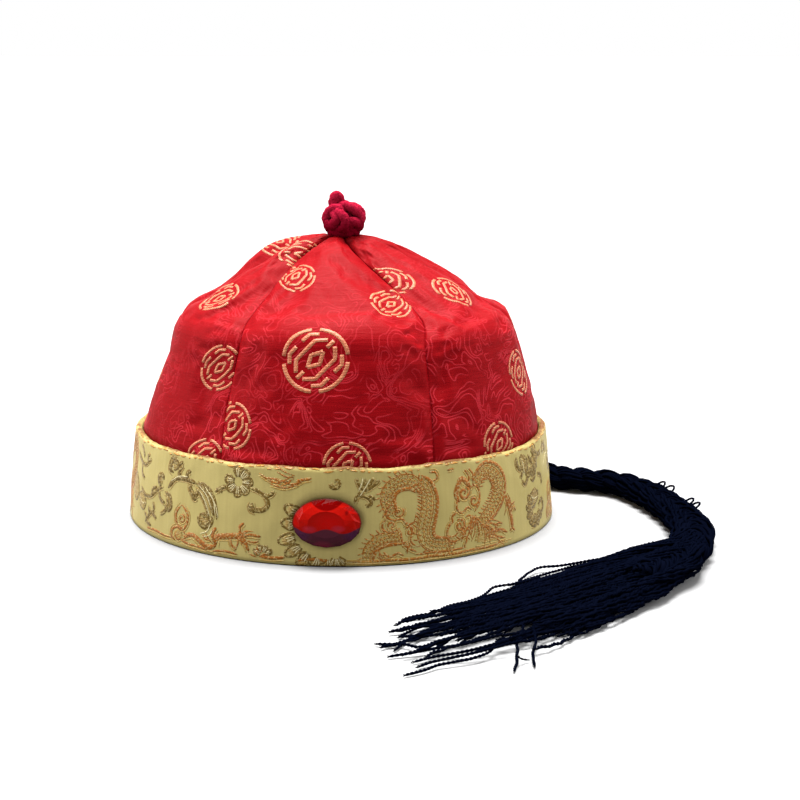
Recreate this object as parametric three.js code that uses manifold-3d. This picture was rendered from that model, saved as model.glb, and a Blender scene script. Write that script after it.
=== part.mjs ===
// A six-gore brocade skullcap: puffed crown gores, a turned-up band, a lining edge that shows under it,
// an oval cut stone, a cord button knot and a plaited braid with a loose tail.
// Millimetres, +Z up. The hat stands on z = 0 and its front, with the stone, faces -Y.

import * as THREE from 'three';
import { mergeVertices } from 'three/addons/utils/BufferGeometryUtils.js';
import Module from 'manifold-3d';

const solids = await Module();
solids.setup();

// Fit
const clothGap = 0.3; // clearance between pieces that touch

// Band: the turned-up cuff, padded cloth that leans in towards its top fold
const rimRadius = 95;
const bandTopRadius = 91.5;
const bandHeight = 39.8;
const bandWall = 3;
const foldRise = 1.8; // height of the rounded top fold
const bandSegments = 60;

// Lining edge: the dark ring that the hat stands on, which shows as a line under the band
const liningFoot = 0.8; // height of the foot that reaches out under the band
const liningInset = 0.5; // how far the foot stays behind the band's outer edge
const liningHeight = 9;
const liningWall = 2.4;

// Crown
const crownHeight = 122.5; // table to the gores' points under the knot
const crownWall = 2;
const gorePuff = 6; // most that a gore stands out beyond its seams
const seamSink = 0.8; // how far the seams stay behind the gores inside the band
const stemHole = 3.2; // radius of the opening between the gores' points
const crownLean = 2; // how far the soft shoulder stands over towards +X
const goreAcross = 9; // facets across a gore
const goreAlong = 18; // facets from hem to point

// Seam profile above the band, as shares: up of the rise above the band, out of the crown's radius
// at the fold, puff of gorePuff
const seamSections = [
  { up: 0.105, out: 0.959, puff: 0.27 },
  { up: 0.210, out: 0.926, puff: 0.37 },
  { up: 0.377, out: 0.870, puff: 0.50 },
  { up: 0.485, out: 0.838, puff: 0.58 },
  { up: 0.552, out: 0.812, puff: 0.64 },
  { up: 0.611, out: 0.760, puff: 0.68 },
  { up: 0.680, out: 0.650, puff: 0.68 },
  { up: 0.772, out: 0.495, puff: 0.75 },
  { up: 0.852, out: 0.347, puff: 0.82 },
  { up: 0.920, out: 0.212, puff: 0.80 },
  { up: 0.970, out: 0.100, puff: 0.57 },
];

// Seams in degrees from the front, counted towards +X, at even shares from the hem to the knot
const seams = [
  { name: 'front_left', turns: [-27, -31, -33.5, -34, -38.5, -46, -52] },
  { name: 'front_right', turns: [28.5, 29, 29.5, 30.5, 35, 27, 15] },
  { name: 'right', turns: [90, 89.5, 89, 89, 89, 89.5, 90] },
  { name: 'back_right', turns: [151, 150, 149, 149, 149, 149.5, 150] },
  { name: 'back_left', turns: [209, 210, 211, 211, 211, 210.5, 210] },
  { name: 'left', turns: [270, 270.5, 271, 271, 271, 270.5, 270] },
];
const gores = ['front', 'front_right', 'back_right', 'back', 'back_left', 'front_left'];

// Soft dents and folds pressed into the gores: place as shares across and up the gore, size as shares
// of the gore, depth as a share of gorePuff, and turn in degrees. A depth below zero stands out.
const dents = [
  { gore: 'front', across: 0.12, up: 0.62, wide: 0.16, tall: 0.05, depth: 0.34, turn: 24 },
  { gore: 'front', across: 0.86, up: 0.70, wide: 0.12, tall: 0.06, depth: 0.22, turn: -18 },
  { gore: 'front', across: 0.52, up: 0.44, wide: 0.34, tall: 0.06, depth: 0.16, turn: 4 },
  { gore: 'front_right', across: 0.10, up: 0.66, wide: 0.10, tall: 0.05, depth: 0.40, turn: -30 },
  { gore: 'front_right', across: 0.55, up: 0.60, wide: 0.30, tall: 0.04, depth: 0.20, turn: 6 },
  { gore: 'front_left', across: 0.80, up: 0.62, wide: 0.14, tall: 0.05, depth: 0.26, turn: 26 },
  { gore: 'back_right', across: 0.40, up: 0.60, wide: 0.26, tall: 0.05, depth: 0.26, turn: -12 },
  { gore: 'back', across: 0.60, up: 0.63, wide: 0.30, tall: 0.05, depth: 0.24, turn: 10 },
  { gore: 'back_left', across: 0.45, up: 0.58, wide: 0.28, tall: 0.05, depth: 0.22, turn: -8 },
  { gore: 'back_left', across: 0.55, up: 0.77, wide: 0.45, tall: 0.09, depth: -0.75, turn: 0 },
  { gore: 'front_right', across: 0.86, up: 0.60, wide: 0.16, tall: 0.06, depth: 0.30, turn: 0 },
  { gore: 'back_right', across: 0.14, up: 0.60, wide: 0.16, tall: 0.06, depth: 0.30, turn: 0 },
];

// Stone: an oval cut stone, flat at the back, set into a shallow pocket in the band
const stoneWidth = 28;
const stoneHeight = 20;
const stoneDepth = 6;
const stoneCentre = 18; // height of its middle above the table
const pocketDepth = 1.3; // pocket floor behind the band's face at the stone's middle
const stoneFacets = 16;

// Stone rings from the flat back to the table: up as a share of stoneDepth, size as a share of the
// outline, step in facets round the stone
const stoneRings = [
  { up: 0.00, size: 0.95, step: 0.0 },
  { up: 0.18, size: 1.00, step: 0.0 },
  { up: 0.30, size: 1.00, step: 0.0 },
  { up: 0.70, size: 0.80, step: 0.5 },
  { up: 1.00, size: 0.54, step: 0.0 },
];

// Button knot: loops of one cord drawn into a ball, with a bight standing on top and a stem below
const knotCord = 5;
const knotLoop = 3.8; // radius of a loop's centreline
const knotBall = 8.9; // radius of the whole ball
const knotSink = 0.6; // how far the ball's foot sinks below the gores' points
const stemLength = 8; // stem below the gores' points

// Loops of the ball, in degrees: round the hat's axis, up from level, and spin about its own axis
const knotLoops = [
  { round: -52, up: 8, spin: 0 },
  { round: 34, up: 16, spin: 20 },
  { round: 118, up: 2, spin: -15 },
  { round: 205, up: 12, spin: 10 },
  { round: 275, up: -14, spin: 0 },
];
const bightLean = { across: -2, back: 0.5, turn: 25 };

// Braid: a flattened plait that leaves the band at the back, lies on the table, goes round the hat's
// right side and runs forward. Its route is chosen by hand, from the hat's axis.
const braidWidth = 14.5;
const braidThick = 10;
const braidLift = 0.2;
const braidSides = 10;
const braidSteps = 44;
const braidRoute = [
  [0, 95.3], [0.5, 103], [4, 113], [12, 121], [24, 125], [38, 123], [51, 116], [62, 106], [71, 94],
  [78, 81], [83, 68], [88, 57], [95, 46.5], [104, 41], [116, 40], [128, 35.5], [137.5, 24], [144, 8],
  [149, -10], [153, -28], [155, -46], [152, -64], [146, -80],
];

// Tail: the plait's loose end, combed out over the table. The spine is chosen by hand like the route.
const tailSpine = [
  [145.7, -80.6], [136, -98], [118, -119], [97, -143], [74, -168], [50, -190], [25, -207],
];
const tailThick = 8;
const lockWidth = 10;
const lockSides = 8;
const lockSteps = 10;
const tailHead = { length: 30, width: 24, thick: 13 };

// Locks of the tail: distance across the spine at the head, midway and at the tip, reach as a share of
// the spine, and the side sway
const tailLocks = [
  { head: -7, middle: -24, tip: -29, reach: 0.87, sway: 1.5 },
  { head: -5, middle: -19, tip: -22, reach: 0.91, sway: -1.5 },
  { head: -3, middle: -13, tip: -14, reach: 0.98, sway: 2 },
  { head: -1, middle: -8, tip: -8, reach: 0.93, sway: -2 },
  { head: 1, middle: -2, tip: -1, reach: 0.97, sway: 1.5 },
  { head: 3, middle: 3, tip: 6, reach: 0.94, sway: -2 },
  { head: 4, middle: 8, tip: 13, reach: 0.92, sway: 2 },
  { head: 5, middle: 12, tip: 18, reach: 0.74, sway: -1.5 },
];

const degrees = Math.PI / 180;

// Materials
function cloth(colour, roughness) {
  return new THREE.MeshStandardMaterial({ color: colour, roughness, metalness: 0 });
}
const redBrocade = cloth(0xb8141f, 0.55);
const creamBrocade = cloth(0xc9bd82, 0.5);
const blackCloth = cloth(0x14121a, 0.85);
const crimsonCord = cloth(0xb01738, 0.85);
const blackYarn = cloth(0x0a0a12, 0.8);
const redGlass = new THREE.MeshStandardMaterial({ color: 0xc40a12, roughness: 0.08, metalness: 0.1 });

// Geometry from a list of points and a list of triangles
function meshOf(points, faces) {
  const geometry = new THREE.BufferGeometry();
  geometry.setAttribute('position', new THREE.Float32BufferAttribute(points.flat(), 3));
  geometry.setIndex(faces.flat());
  return geometry;
}

// Closed body through rings of points: each ring has as many points as the first, and both ends are
// closed by a fan about their middle
function loft(rings) {
  const around = rings[0].length;
  const points = rings.flat();
  const faces = [];
  for (let i = 0; i + 1 < rings.length; i += 1) {
    for (let j = 0; j < around; j += 1) {
      const a = i * around + j;
      const b = i * around + ((j + 1) % around);
      faces.push([a, b, b + around], [a, b + around, a + around]);
    }
  }
  const last = (rings.length - 1) * around;
  const foot = points.push(middleOf(rings[0])) - 1;
  const head = points.push(middleOf(rings[rings.length - 1])) - 1;
  for (let j = 0; j < around; j += 1) {
    const next = (j + 1) % around;
    faces.push([foot, next, j], [head, last + j, last + next]);
  }
  return meshOf(points, faces);
}

function middleOf(ring) {
  const middle = new THREE.Vector3();
  ring.forEach((p) => middle.add(new THREE.Vector3(...p)));
  return middle.divideScalar(ring.length).toArray();
}

// Closed wall between an outer and an inner sheet, each a grid of rows from hem to point
function wallBetween(outer, inner) {
  const rows = outer.length;
  const columns = outer[0].length;
  const points = [...outer.flat(), ...inner.flat()];
  const out = (i, j) => i * columns + j;
  const inn = (i, j) => rows * columns + i * columns + j;
  const faces = [];
  for (let i = 0; i + 1 < rows; i += 1) {
    for (let j = 0; j + 1 < columns; j += 1) {
      faces.push([out(i, j), out(i, j + 1), out(i + 1, j + 1)]);
      faces.push([out(i, j), out(i + 1, j + 1), out(i + 1, j)]);
      faces.push([inn(i, j), inn(i + 1, j + 1), inn(i, j + 1)]);
      faces.push([inn(i, j), inn(i + 1, j), inn(i + 1, j + 1)]);
    }
    const end = columns - 1;
    faces.push([out(i, 0), out(i + 1, 0), inn(i + 1, 0)], [out(i, 0), inn(i + 1, 0), inn(i, 0)]);
    faces.push([out(i, end), inn(i + 1, end), out(i + 1, end)], [out(i, end), inn(i, end), inn(i + 1, end)]);
  }
  for (let j = 0; j + 1 < columns; j += 1) {
    const top = rows - 1;
    faces.push([out(0, j), inn(0, j + 1), out(0, j + 1)], [out(0, j), inn(0, j), inn(0, j + 1)]);
    faces.push([out(top, j), out(top, j + 1), inn(top, j + 1)], [out(top, j), inn(top, j + 1), inn(top, j)]);
  }
  return meshOf(points, faces);
}

// Booleans
function toSolid(geometry) {
  const bare = geometry.clone();
  bare.deleteAttribute('normal');
  bare.deleteAttribute('uv');
  const merged = mergeVertices(bare, 1e-4);
  return new solids.Manifold(new solids.Mesh({
    numProp: 3,
    vertProperties: new Float32Array(merged.attributes.position.array),
    triVerts: new Uint32Array(merged.index.array),
  }));
}

function toGeometry(solid) {
  const mesh = solid.getMesh();
  const geometry = new THREE.BufferGeometry();
  geometry.setAttribute('position', new THREE.BufferAttribute(new Float32Array(mesh.vertProperties), 3));
  geometry.setIndex(new THREE.BufferAttribute(new Uint32Array(mesh.triVerts), 1));
  return geometry;
}

function fuse(geometries) {
  return toGeometry(geometries.map(toSolid).reduce((whole, next) => whole.add(next)));
}

function piece(name, geometry, material) {
  const flat = geometry.index ? geometry.toNonIndexed() : geometry;
  flat.computeVertexNormals();
  const mesh = new THREE.Mesh(flat, material);
  mesh.name = name;
  return mesh;
}

// Point at a radius and height, at an angle in radians from the front towards +X
function polar(radius, angle, height) {
  return [radius * Math.sin(angle), -radius * Math.cos(angle), height];
}

// Band faces: radius of the outer and of the inner face at a height
const bandFoot = liningFoot + clothGap;
const foldFoot = bandHeight - foldRise;
function bandOuter(height) {
  const share = (height - bandFoot) / (foldFoot - bandFoot);
  return rimRadius + (bandTopRadius - rimRadius) * share;
}
function bandInner(height) {
  return bandOuter(height) - bandWall;
}

// A stretch of the lathe profile as [radius, height] pairs, closed on itself
function turned(profile) {
  const outline = [...profile, profile[0]].map(([radius, height]) => new THREE.Vector2(radius, height));
  const geometry = new THREE.LatheGeometry(outline, bandSegments);
  geometry.rotateX(Math.PI / 2);
  return geometry;
}

// The stone's own frame: its back lies on the pocket's floor and it looks out along the band's normal
const bandLean = Math.atan2(rimRadius - bandTopRadius, foldFoot - bandFoot);
function stoneFrame() {
  const out = new THREE.Vector3(0, -Math.cos(bandLean), Math.sin(bandLean));
  const across = new THREE.Vector3(1, 0, 0);
  const up = new THREE.Vector3().crossVectors(out, across);
  const place = new THREE.Vector3(...polar(bandOuter(stoneCentre), 0, stoneCentre));
  place.addScaledVector(out, -pocketDepth);
  return new THREE.Matrix4().makeBasis(across, up, out).setPosition(place);
}

function ovalRing(size, step, height, spare) {
  const ring = [];
  for (let k = 0; k < stoneFacets; k += 1) {
    const turn = ((k + step) / stoneFacets) * 2 * Math.PI;
    const width = (stoneWidth / 2) * size + spare;
    const tall = (stoneHeight / 2) * size + spare;
    ring.push([width * Math.cos(turn), tall * Math.sin(turn), height]);
  }
  return ring;
}

function stoneGeometry() {
  const rings = stoneRings.map((row) => ovalRing(row.size, row.step, clothGap + row.up * stoneDepth, 0));
  return loft(rings).applyMatrix4(stoneFrame());
}

function bandGeometry() {
  const top = bandInner(foldFoot);
  const cloth = turned([
    [bandInner(bandFoot), bandFoot],
    [rimRadius - 0.6, bandFoot],
    [rimRadius, bandFoot + 0.8],
    [bandOuter(foldFoot), foldFoot],
    [bandTopRadius - bandWall * 0.16, foldFoot + foldRise * 0.72],
    [bandTopRadius - bandWall * 0.5, bandHeight],
    [top + bandWall * 0.14, foldFoot + foldRise * 0.72],
    [top, foldFoot],
  ]);
  const pocket = loft([
    ovalRing(1, 0, 0, clothGap),
    ovalRing(1, 0, stoneDepth, clothGap),
  ]).applyMatrix4(stoneFrame());
  return toGeometry(toSolid(cloth).subtract(toSolid(pocket)));
}

function liningGeometry() {
  const outside = bandInner(bandFoot) - clothGap;
  const topOutside = bandInner(liningHeight) - clothGap;
  return turned([
    [outside - liningWall, 0],
    [rimRadius - liningInset, 0],
    [rimRadius - liningInset, liningFoot],
    [outside, liningFoot],
    [topOutside, liningHeight],
    [topOutside - liningWall, liningHeight],
  ]);
}

// Seam profile from hem to point as a curve of (radius, height, puff)
const crownRadius = bandInner(foldFoot) - clothGap;
const hemHeight = liningHeight + clothGap;
const crownRise = crownHeight - bandHeight;
const seamLine = new THREE.CatmullRomCurve3([
  new THREE.Vector3(bandInner(hemHeight) - clothGap - seamSink, hemHeight, seamSink),
  new THREE.Vector3(bandInner((hemHeight + foldFoot) / 2) - clothGap - seamSink, (hemHeight + foldFoot) / 2, seamSink),
  new THREE.Vector3(crownRadius - seamSink, foldFoot, seamSink),
  ...seamSections.map((row) => new THREE.Vector3(
    row.out * crownRadius,
    bandHeight + row.up * crownRise,
    row.puff * gorePuff,
  )),
  new THREE.Vector3(stemHole, crownHeight, 0.2 * gorePuff),
], false, 'centripetal');

// How far a gore stands out at a share across it: full over the middle, dropping into each seam
function fullness(across) {
  return Math.pow(1 - Math.pow(Math.abs(2 * across - 1), 3), 0.8);
}

// Depth of the dents of a gore at a place
function dentAt(gore, across, up) {
  return dents.filter((row) => row.gore === gore).reduce((sum, row) => {
    const c = Math.cos(row.turn * degrees);
    const s = Math.sin(row.turn * degrees);
    const x = (across - row.across) * c + (up - row.up) * s;
    const y = (up - row.up) * c - (across - row.across) * s;
    const falloff = Math.exp(-((x / row.wide) ** 2) - (y / row.tall) ** 2);
    return sum + row.depth * gorePuff * falloff;
  }, 0);
}

// Angle of a seam at a share from hem to knot, on the smooth line through its turns
function seamAngle(seam, along) {
  const last = seam.turns.length - 1;
  const step = Math.min(Math.floor(along * last), last - 1);
  const turnAt = (k) => {
    if (k < 0) return 2 * seam.turns[0] - seam.turns[1];
    return k > last ? 2 * seam.turns[last] - seam.turns[last - 1] : seam.turns[k];
  };
  const [a, b, c, d] = [-1, 0, 1, 2].map((k) => turnAt(step + k));
  const w = along * last - step;
  const rise = (c - a) * w + (2 * a - 5 * b + 4 * c - d) * w ** 2 + (3 * b - a - 3 * c + d) * w ** 3;
  return (b + 0.5 * rise) * degrees;
}

// How far the crown's axis is pushed over at a height, none at the band and none at the knot
function leanAt(height) {
  const share = Math.max(0, (height - bandHeight) / crownRise);
  return crownLean * Math.sin(Math.PI * Math.min(1, share));
}

function goreGeometry(index) {
  const from = seams[index];
  const to = seams[(index + 1) % seams.length];
  const lap = index + 1 === seams.length ? 2 * Math.PI : 0;
  const outer = [];
  const inner = [];
  for (let i = 0; i <= goreAlong; i += 1) {
    const along = i / goreAlong;
    const seam = seamLine.getPoint(along);
    const slope = seamLine.getTangent(along);
    const normal = new THREE.Vector2(slope.y, -slope.x).normalize();
    const start = seamAngle(from, along);
    const end = seamAngle(to, along) + lap;
    const outerRow = [];
    const innerRow = [];
    for (let j = 0; j <= goreAcross; j += 1) {
      const across = j / goreAcross;
      const lift = (seam.z - dentAt(gores[index], across, along)) * fullness(across);
      const place = (offset) => {
        const radius = Math.max(stemHole, seam.x + normal.x * offset);
        const spare = Math.asin(clothGap / 2 / radius);
        const angle = start + spare + (end - start - 2 * spare) * across;
        const height = seam.y + normal.y * offset;
        const [x, y] = polar(radius, angle, height);
        return [x + leanAt(height), y, height];
      };
      outerRow.push(place(lift));
      innerRow.push(place(lift - crownWall));
    }
    outer.push(outerRow);
    inner.push(innerRow);
  }
  return wallBetween(outer, inner);
}

// Button knot: cord loops about the middle of the ball, a core, a bight on top and the stem
function knotGeometry() {
  const middle = crownHeight + knotBall - knotSink;
  const parts = [];
  const core = new THREE.SphereGeometry(knotBall - knotCord * 0.35, 14, 10);
  parts.push(core.translate(0, 0, middle));
  knotLoops.forEach((row) => {
    const loop = new THREE.TorusGeometry(knotLoop, knotCord / 2, 7, 12);
    loop.rotateZ(row.spin * degrees);
    loop.rotateX(Math.PI / 2);
    loop.rotateX(row.up * degrees);
    loop.translate(0, -(knotBall - knotCord * 0.55), 0);
    loop.rotateZ(row.round * degrees);
    parts.push(loop.translate(0, 0, middle));
  });
  const bight = new THREE.TorusGeometry(knotLoop * 0.5, knotCord / 2, 7, 10);
  bight.rotateX(Math.PI / 2);
  bight.rotateZ(bightLean.turn * degrees);
  parts.push(bight.translate(bightLean.across, bightLean.back, middle + knotBall - knotCord * 0.1));
  const stemRadius = stemHole - clothGap;
  const stemTall = stemLength + knotBall - knotSink;
  const stem = new THREE.CylinderGeometry(stemRadius, stemRadius, stemTall, 10);
  stem.rotateX(Math.PI / 2);
  parts.push(stem.translate(0, 0, middle - stemTall / 2));
  return fuse(parts);
}

// Curve over the table through [x, y] points at one height
function onTable(points, height) {
  return new THREE.CatmullRomCurve3(points.map(([x, y]) => new THREE.Vector3(x, y, height)));
}

function braidGeometry() {
  const section = new THREE.Shape();
  for (let k = 0; k < braidSides; k += 1) {
    const turn = (k / braidSides) * 2 * Math.PI;
    const corner = [(braidThick / 2) * Math.cos(turn), (braidWidth / 2) * Math.sin(turn)];
    if (k === 0) {
      section.moveTo(...corner);
    } else {
      section.lineTo(...corner);
    }
  }
  return new THREE.ExtrudeGeometry(section, {
    steps: braidSteps,
    bevelEnabled: false,
    extrudePath: onTable(braidRoute, braidThick / 2 + braidLift),
  });
}

// One lock of the tail: a tapering strip that follows the spine and lies on the table
function lockGeometry(row) {
  const spine = onTable(tailSpine, 0);
  const rings = [];
  for (let i = 0; i <= lockSteps; i += 1) {
    const share = i / lockSteps;
    const along = 0.04 + (row.reach - 0.04) * share;
    const centre = spine.getPointAt(along);
    const forward = spine.getTangentAt(along);
    const side = new THREE.Vector3(-forward.y, forward.x, 0);
    const early = Math.sin(Math.min(1, along / 0.45) * (Math.PI / 2));
    const late = Math.max(0, (along - 0.45) / 0.55);
    const spread = row.head + (row.middle - row.head) * early + (row.tip - row.middle) * late;
    const across = spread + row.sway * Math.sin(share * 3 * Math.PI);
    const taper = Math.pow(1 - share, 0.6);
    const width = 1.2 + (lockWidth / 2 - 1.2) * taper;
    const thick = 0.9 + (tailThick / 2 - 0.9) * taper;
    const ring = [];
    for (let k = 0; k < lockSides; k += 1) {
      const turn = (k / lockSides) * 2 * Math.PI;
      const offset = across + width * Math.cos(turn);
      const height = thick + thick * Math.sin(turn);
      ring.push([centre.x + side.x * offset, centre.y + side.y * offset, height]);
    }
    rings.push(ring);
  }
  return loft(rings);
}

function tailGeometry() {
  const spine = onTable(tailSpine, 0);
  const forward = spine.getTangentAt(0);
  const head = new THREE.SphereGeometry(0.5, 14, 8);
  head.scale(tailHead.length, tailHead.width, tailHead.thick);
  head.rotateZ(Math.atan2(forward.y, forward.x));
  const start = spine.getPointAt(0).addScaledVector(forward, tailHead.length / 2);
  head.translate(start.x, start.y, tailHead.thick / 2);
  return fuse([head, ...tailLocks.map(lockGeometry)]);
}

const hat = new THREE.Group();
gores.forEach((gore, index) => {
  hat.add(piece(`crown_gore_${gore}`, goreGeometry(index), redBrocade));
});
hat.add(piece('band', bandGeometry(), creamBrocade));
hat.add(piece('lining_edge', liningGeometry(), blackCloth));
hat.add(piece('stone', stoneGeometry(), redGlass));
hat.add(piece('button_knot', knotGeometry(), crimsonCord));

// The origin is under the middle of the hat's own box, stone included
const hatBox = new THREE.Box3().setFromObject(hat);
const group = new THREE.Group();
group.add(hat);
hat.add(piece('braid', braidGeometry(), blackYarn));
hat.add(piece('braid_tail', tailGeometry(), blackYarn));
hat.position.y = -(hatBox.min.y + hatBox.max.y) / 2;

export default group;
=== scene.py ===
# A six-gore brocade skullcap with a turned-up band, a cut stone, a cord knot and a plaited braid, dressed
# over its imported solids. Metres, +Z up, the front with the stone faces -Y. Patterns are laid out in
# millimetres on the flat cloth.

import math
import random

import bpy
import numpy as np
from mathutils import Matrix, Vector, noise


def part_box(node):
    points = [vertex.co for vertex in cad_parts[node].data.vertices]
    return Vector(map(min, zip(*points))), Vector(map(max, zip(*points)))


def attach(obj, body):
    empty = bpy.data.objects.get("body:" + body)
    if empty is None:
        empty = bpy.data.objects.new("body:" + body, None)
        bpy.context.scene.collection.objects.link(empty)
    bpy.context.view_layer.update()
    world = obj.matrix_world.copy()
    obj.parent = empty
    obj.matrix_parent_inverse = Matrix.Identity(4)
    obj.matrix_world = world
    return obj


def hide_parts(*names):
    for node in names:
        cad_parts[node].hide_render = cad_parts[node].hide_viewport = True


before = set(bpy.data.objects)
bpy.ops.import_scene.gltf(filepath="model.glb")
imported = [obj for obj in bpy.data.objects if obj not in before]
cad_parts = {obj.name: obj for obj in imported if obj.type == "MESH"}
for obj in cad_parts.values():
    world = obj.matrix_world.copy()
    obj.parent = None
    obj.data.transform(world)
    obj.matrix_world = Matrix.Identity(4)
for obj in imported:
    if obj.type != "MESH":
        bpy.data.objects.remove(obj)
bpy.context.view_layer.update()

MM = 0.001
TURN = 2 * math.pi

# Places taken from the solids
band_low, band_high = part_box("band")
stone_low, stone_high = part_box("stone")
AXIS = np.array([0, (band_low.y + band_high.y) / 2, 0])
RIM_RADIUS = (band_high.x - band_low.x) / 2
BAND_FOOT = band_low.z
BAND_HEIGHT = band_high.z

# Band
BAND_TOP_RADIUS = 0.0915
BAND_WALL = 0.003
FOLD_RISE = 0.0018
FOLD_FOOT = BAND_HEIGHT - FOLD_RISE
BAND_ROUND = TURN * RIM_RADIUS
LINING_HEIGHT = 0.009
GAP = 0.0003
BAND_LIP = 0.00045  # height of the cloth's own foot, which hides most of the lining's edge
LIP_WALL = 0.00025

# Crown
CROWN_HEIGHT = 0.1225
CROWN_WALL = 0.002
GORE_PUFF = 0.006
SEAM_SINK = 0.0008
STEM_HOLE = 0.0032
CROWN_LEAN = 0.002
CROWN_RISE = CROWN_HEIGHT - BAND_HEIGHT

# Seam profile above the band, as shares: up the rise, out of the crown's radius, puff of the full puff
SEAM_SECTIONS = [
    (0.105, 0.959, 0.27), (0.210, 0.926, 0.37), (0.377, 0.870, 0.50), (0.485, 0.838, 0.58),
    (0.552, 0.812, 0.64), (0.611, 0.760, 0.68), (0.680, 0.650, 0.68), (0.772, 0.495, 0.75),
    (0.852, 0.347, 0.82), (0.920, 0.212, 0.80), (0.970, 0.100, 0.57),
]

# Seams in degrees from the front towards +X, at even shares from the hem to the knot
SEAMS = [
    (-27, -31, -33.5, -34, -38.5, -46, -52), (28.5, 29, 29.5, 30.5, 35, 27, 15),
    (90, 89.5, 89, 89, 89, 89.5, 90), (151, 150, 149, 149, 149, 149.5, 150),
    (209, 210, 211, 211, 211, 210.5, 210), (270, 270.5, 271, 271, 271, 270.5, 270),
]
GORES = ["front", "front_right", "back_right", "back", "back_left", "front_left"]

# Soft dents of the gores: across, up, wide, tall as shares of the gore, depth of the puff, turn in degrees
DENTS = {
    "front": [(0.12, 0.62, 0.16, 0.05, 0.34, 24), (0.86, 0.70, 0.12, 0.06, 0.22, -18),
              (0.52, 0.44, 0.34, 0.06, 0.16, 4)],
    "front_right": [(0.10, 0.66, 0.10, 0.05, 0.40, -30), (0.55, 0.60, 0.30, 0.04, 0.20, 6),
                    (0.86, 0.60, 0.16, 0.06, 0.30, 0)],
    "back_right": [(0.40, 0.60, 0.26, 0.05, 0.26, -12), (0.14, 0.60, 0.16, 0.06, 0.30, 0)],
    "back": [(0.60, 0.63, 0.30, 0.05, 0.24, 10)],
    "back_left": [(0.45, 0.58, 0.28, 0.05, 0.22, -8), (0.55, 0.77, 0.45, 0.09, -0.75, 0)],
    "front_left": [(0.80, 0.62, 0.14, 0.05, 0.26, 26)],
}

# Braid and tail: routes close to the solids', in millimetres from the hat's axis
BRAID_THICK = 0.010
BRAID_LIFT = 0.0002
BRAID_ROUTE = [
    (0, 95.3), (0.5, 103), (4, 113), (12, 121), (24, 125), (38, 123), (51, 116), (62, 106), (71, 94),
    (78, 81), (83, 68), (88, 57), (95.2, 46), (104, 38.5), (115, 36), (126, 31), (134.5, 20), (141, 5),
    (146, -12), (149.5, -29), (151, -46), (149.5, -63), (145.5, -80),
]
TAIL_SPINE = [(145.7, -80.6), (136, -98), (118, -119), (97, -143), (74, -168), (50, -190), (25, -207)]

# Locks of the tail: across the spine at the head, midway and at the tip in millimetres, and reach
TAIL_LOCKS = [
    (-7, -24, -29, 0.87), (-5, -19, -22, 0.91), (-3, -13, -14, 0.98), (-1, -8, -8, 0.93),
    (1, -2, -1, 0.97), (3, 4, 8, 0.94), (4, 11, 16, 0.92), (5, 16, 22, 0.80),
]
# Loose yarns of the tail on the table, in millimetres from the hat's axis
LOOSE_YARNS = [
    [(112, -90), (104, -92), (93, -96), (85, -97), (81, -102), (76, -115), (73, -127), (66, -137)],
    [(84, -118), (75, -124), (66, -127), (62, -135), (56, -142), (49, -147), (43, -155), (37, -158),
     (32, -162)],
    [(76, -130), (64, -138), (55, -148), (49, -155), (42, -158), (33, -161)],
    [(70, -140), (56, -151), (49, -160), (43, -166), (37, -173), (31, -182)],
    [(72, -150), (59, -161), (50, -166), (46, -174), (40, -179), (32, -181)],
    [(66, -170), (52, -180), (44, -181), (36, -184), (30, -196)],
    [(70, -175), (54, -185), (45, -189), (39, -194), (34, -191), (28, -190), (23, -189)],
    [(68, -186), (54, -193), (43, -196), (36, -199), (28, -202)],
    [(70, -192), (58, -198), (49, -201), (43, -203), (37, -207)],
    [(70, -196), (56, -203), (49, -205), (43, -208), (38, -212)],
    [(76, -184), (66, -193), (62, -201), (57, -205), (51, -208), (45, -211), (41, -215), (34, -220)],
    [(76, -176), (73, -187), (72, -202), (71, -214)],
    [(79, -178), (79, -188), (78, -199), (78, -209)],
    [(72, -207), (74, -204), (77, -202)],
    [(132, -86), (120, -86), (110, -88), (102, -91), (92, -99), (82, -108), (72, -118)],
    [(135, -84), (124, -80), (116, -81), (106, -88), (98, -98), (86, -106)],
]


# Curves

def spline(points, shares):
    """Places on a smooth curve through the points, at shares of its spans from first to last."""
    p = np.asarray(points, float)
    p = np.vstack([2 * p[0] - p[1], p, 2 * p[-1] - p[-2]])
    spans = len(p) - 3
    t = np.clip(np.asarray(shares, float), 0, 1) * spans
    i = np.minimum(t.astype(int), spans - 1)
    w = (t - i)[:, None]
    p0, p1, p2, p3 = p[i], p[i + 1], p[i + 2], p[i + 3]

    def knot(a, b):
        return np.sqrt(np.linalg.norm(a - b, axis=1))[:, None] + 1e-9

    d0, d1, d2 = knot(p0, p1), knot(p1, p2), knot(p2, p3)
    t1 = ((p1 - p0) / d0 - (p2 - p0) / (d0 + d1) + (p2 - p1) / d1) * d1
    t2 = ((p2 - p1) / d1 - (p3 - p1) / (d1 + d2) + (p3 - p2) / d2) * d1
    return p1 + t1 * w + (-3 * p1 + 3 * p2 - 2 * t1 - t2) * w ** 2 + (2 * p1 - 2 * p2 + t1 + t2) * w ** 3


def lengths_along(course):
    steps = np.linalg.norm(np.diff(course, axis=0), axis=1)
    return np.concatenate([[0], np.cumsum(steps)])


def resample(course, step):
    """The same course with even steps of about that length."""
    run = lengths_along(course)
    count = max(2, int(math.ceil(run[-1] / step)) + 1)
    marks = np.linspace(0, run[-1], count)
    return np.stack([np.interp(marks, run, course[:, k]) for k in range(course.shape[1])], 1)


def curve(points, step):
    """A smooth course through the points with even steps."""
    if len(points) == 2:
        return resample(np.asarray(points, float), step)
    return resample(spline(points, np.linspace(0, 1, 12 * len(points))), step)


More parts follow.
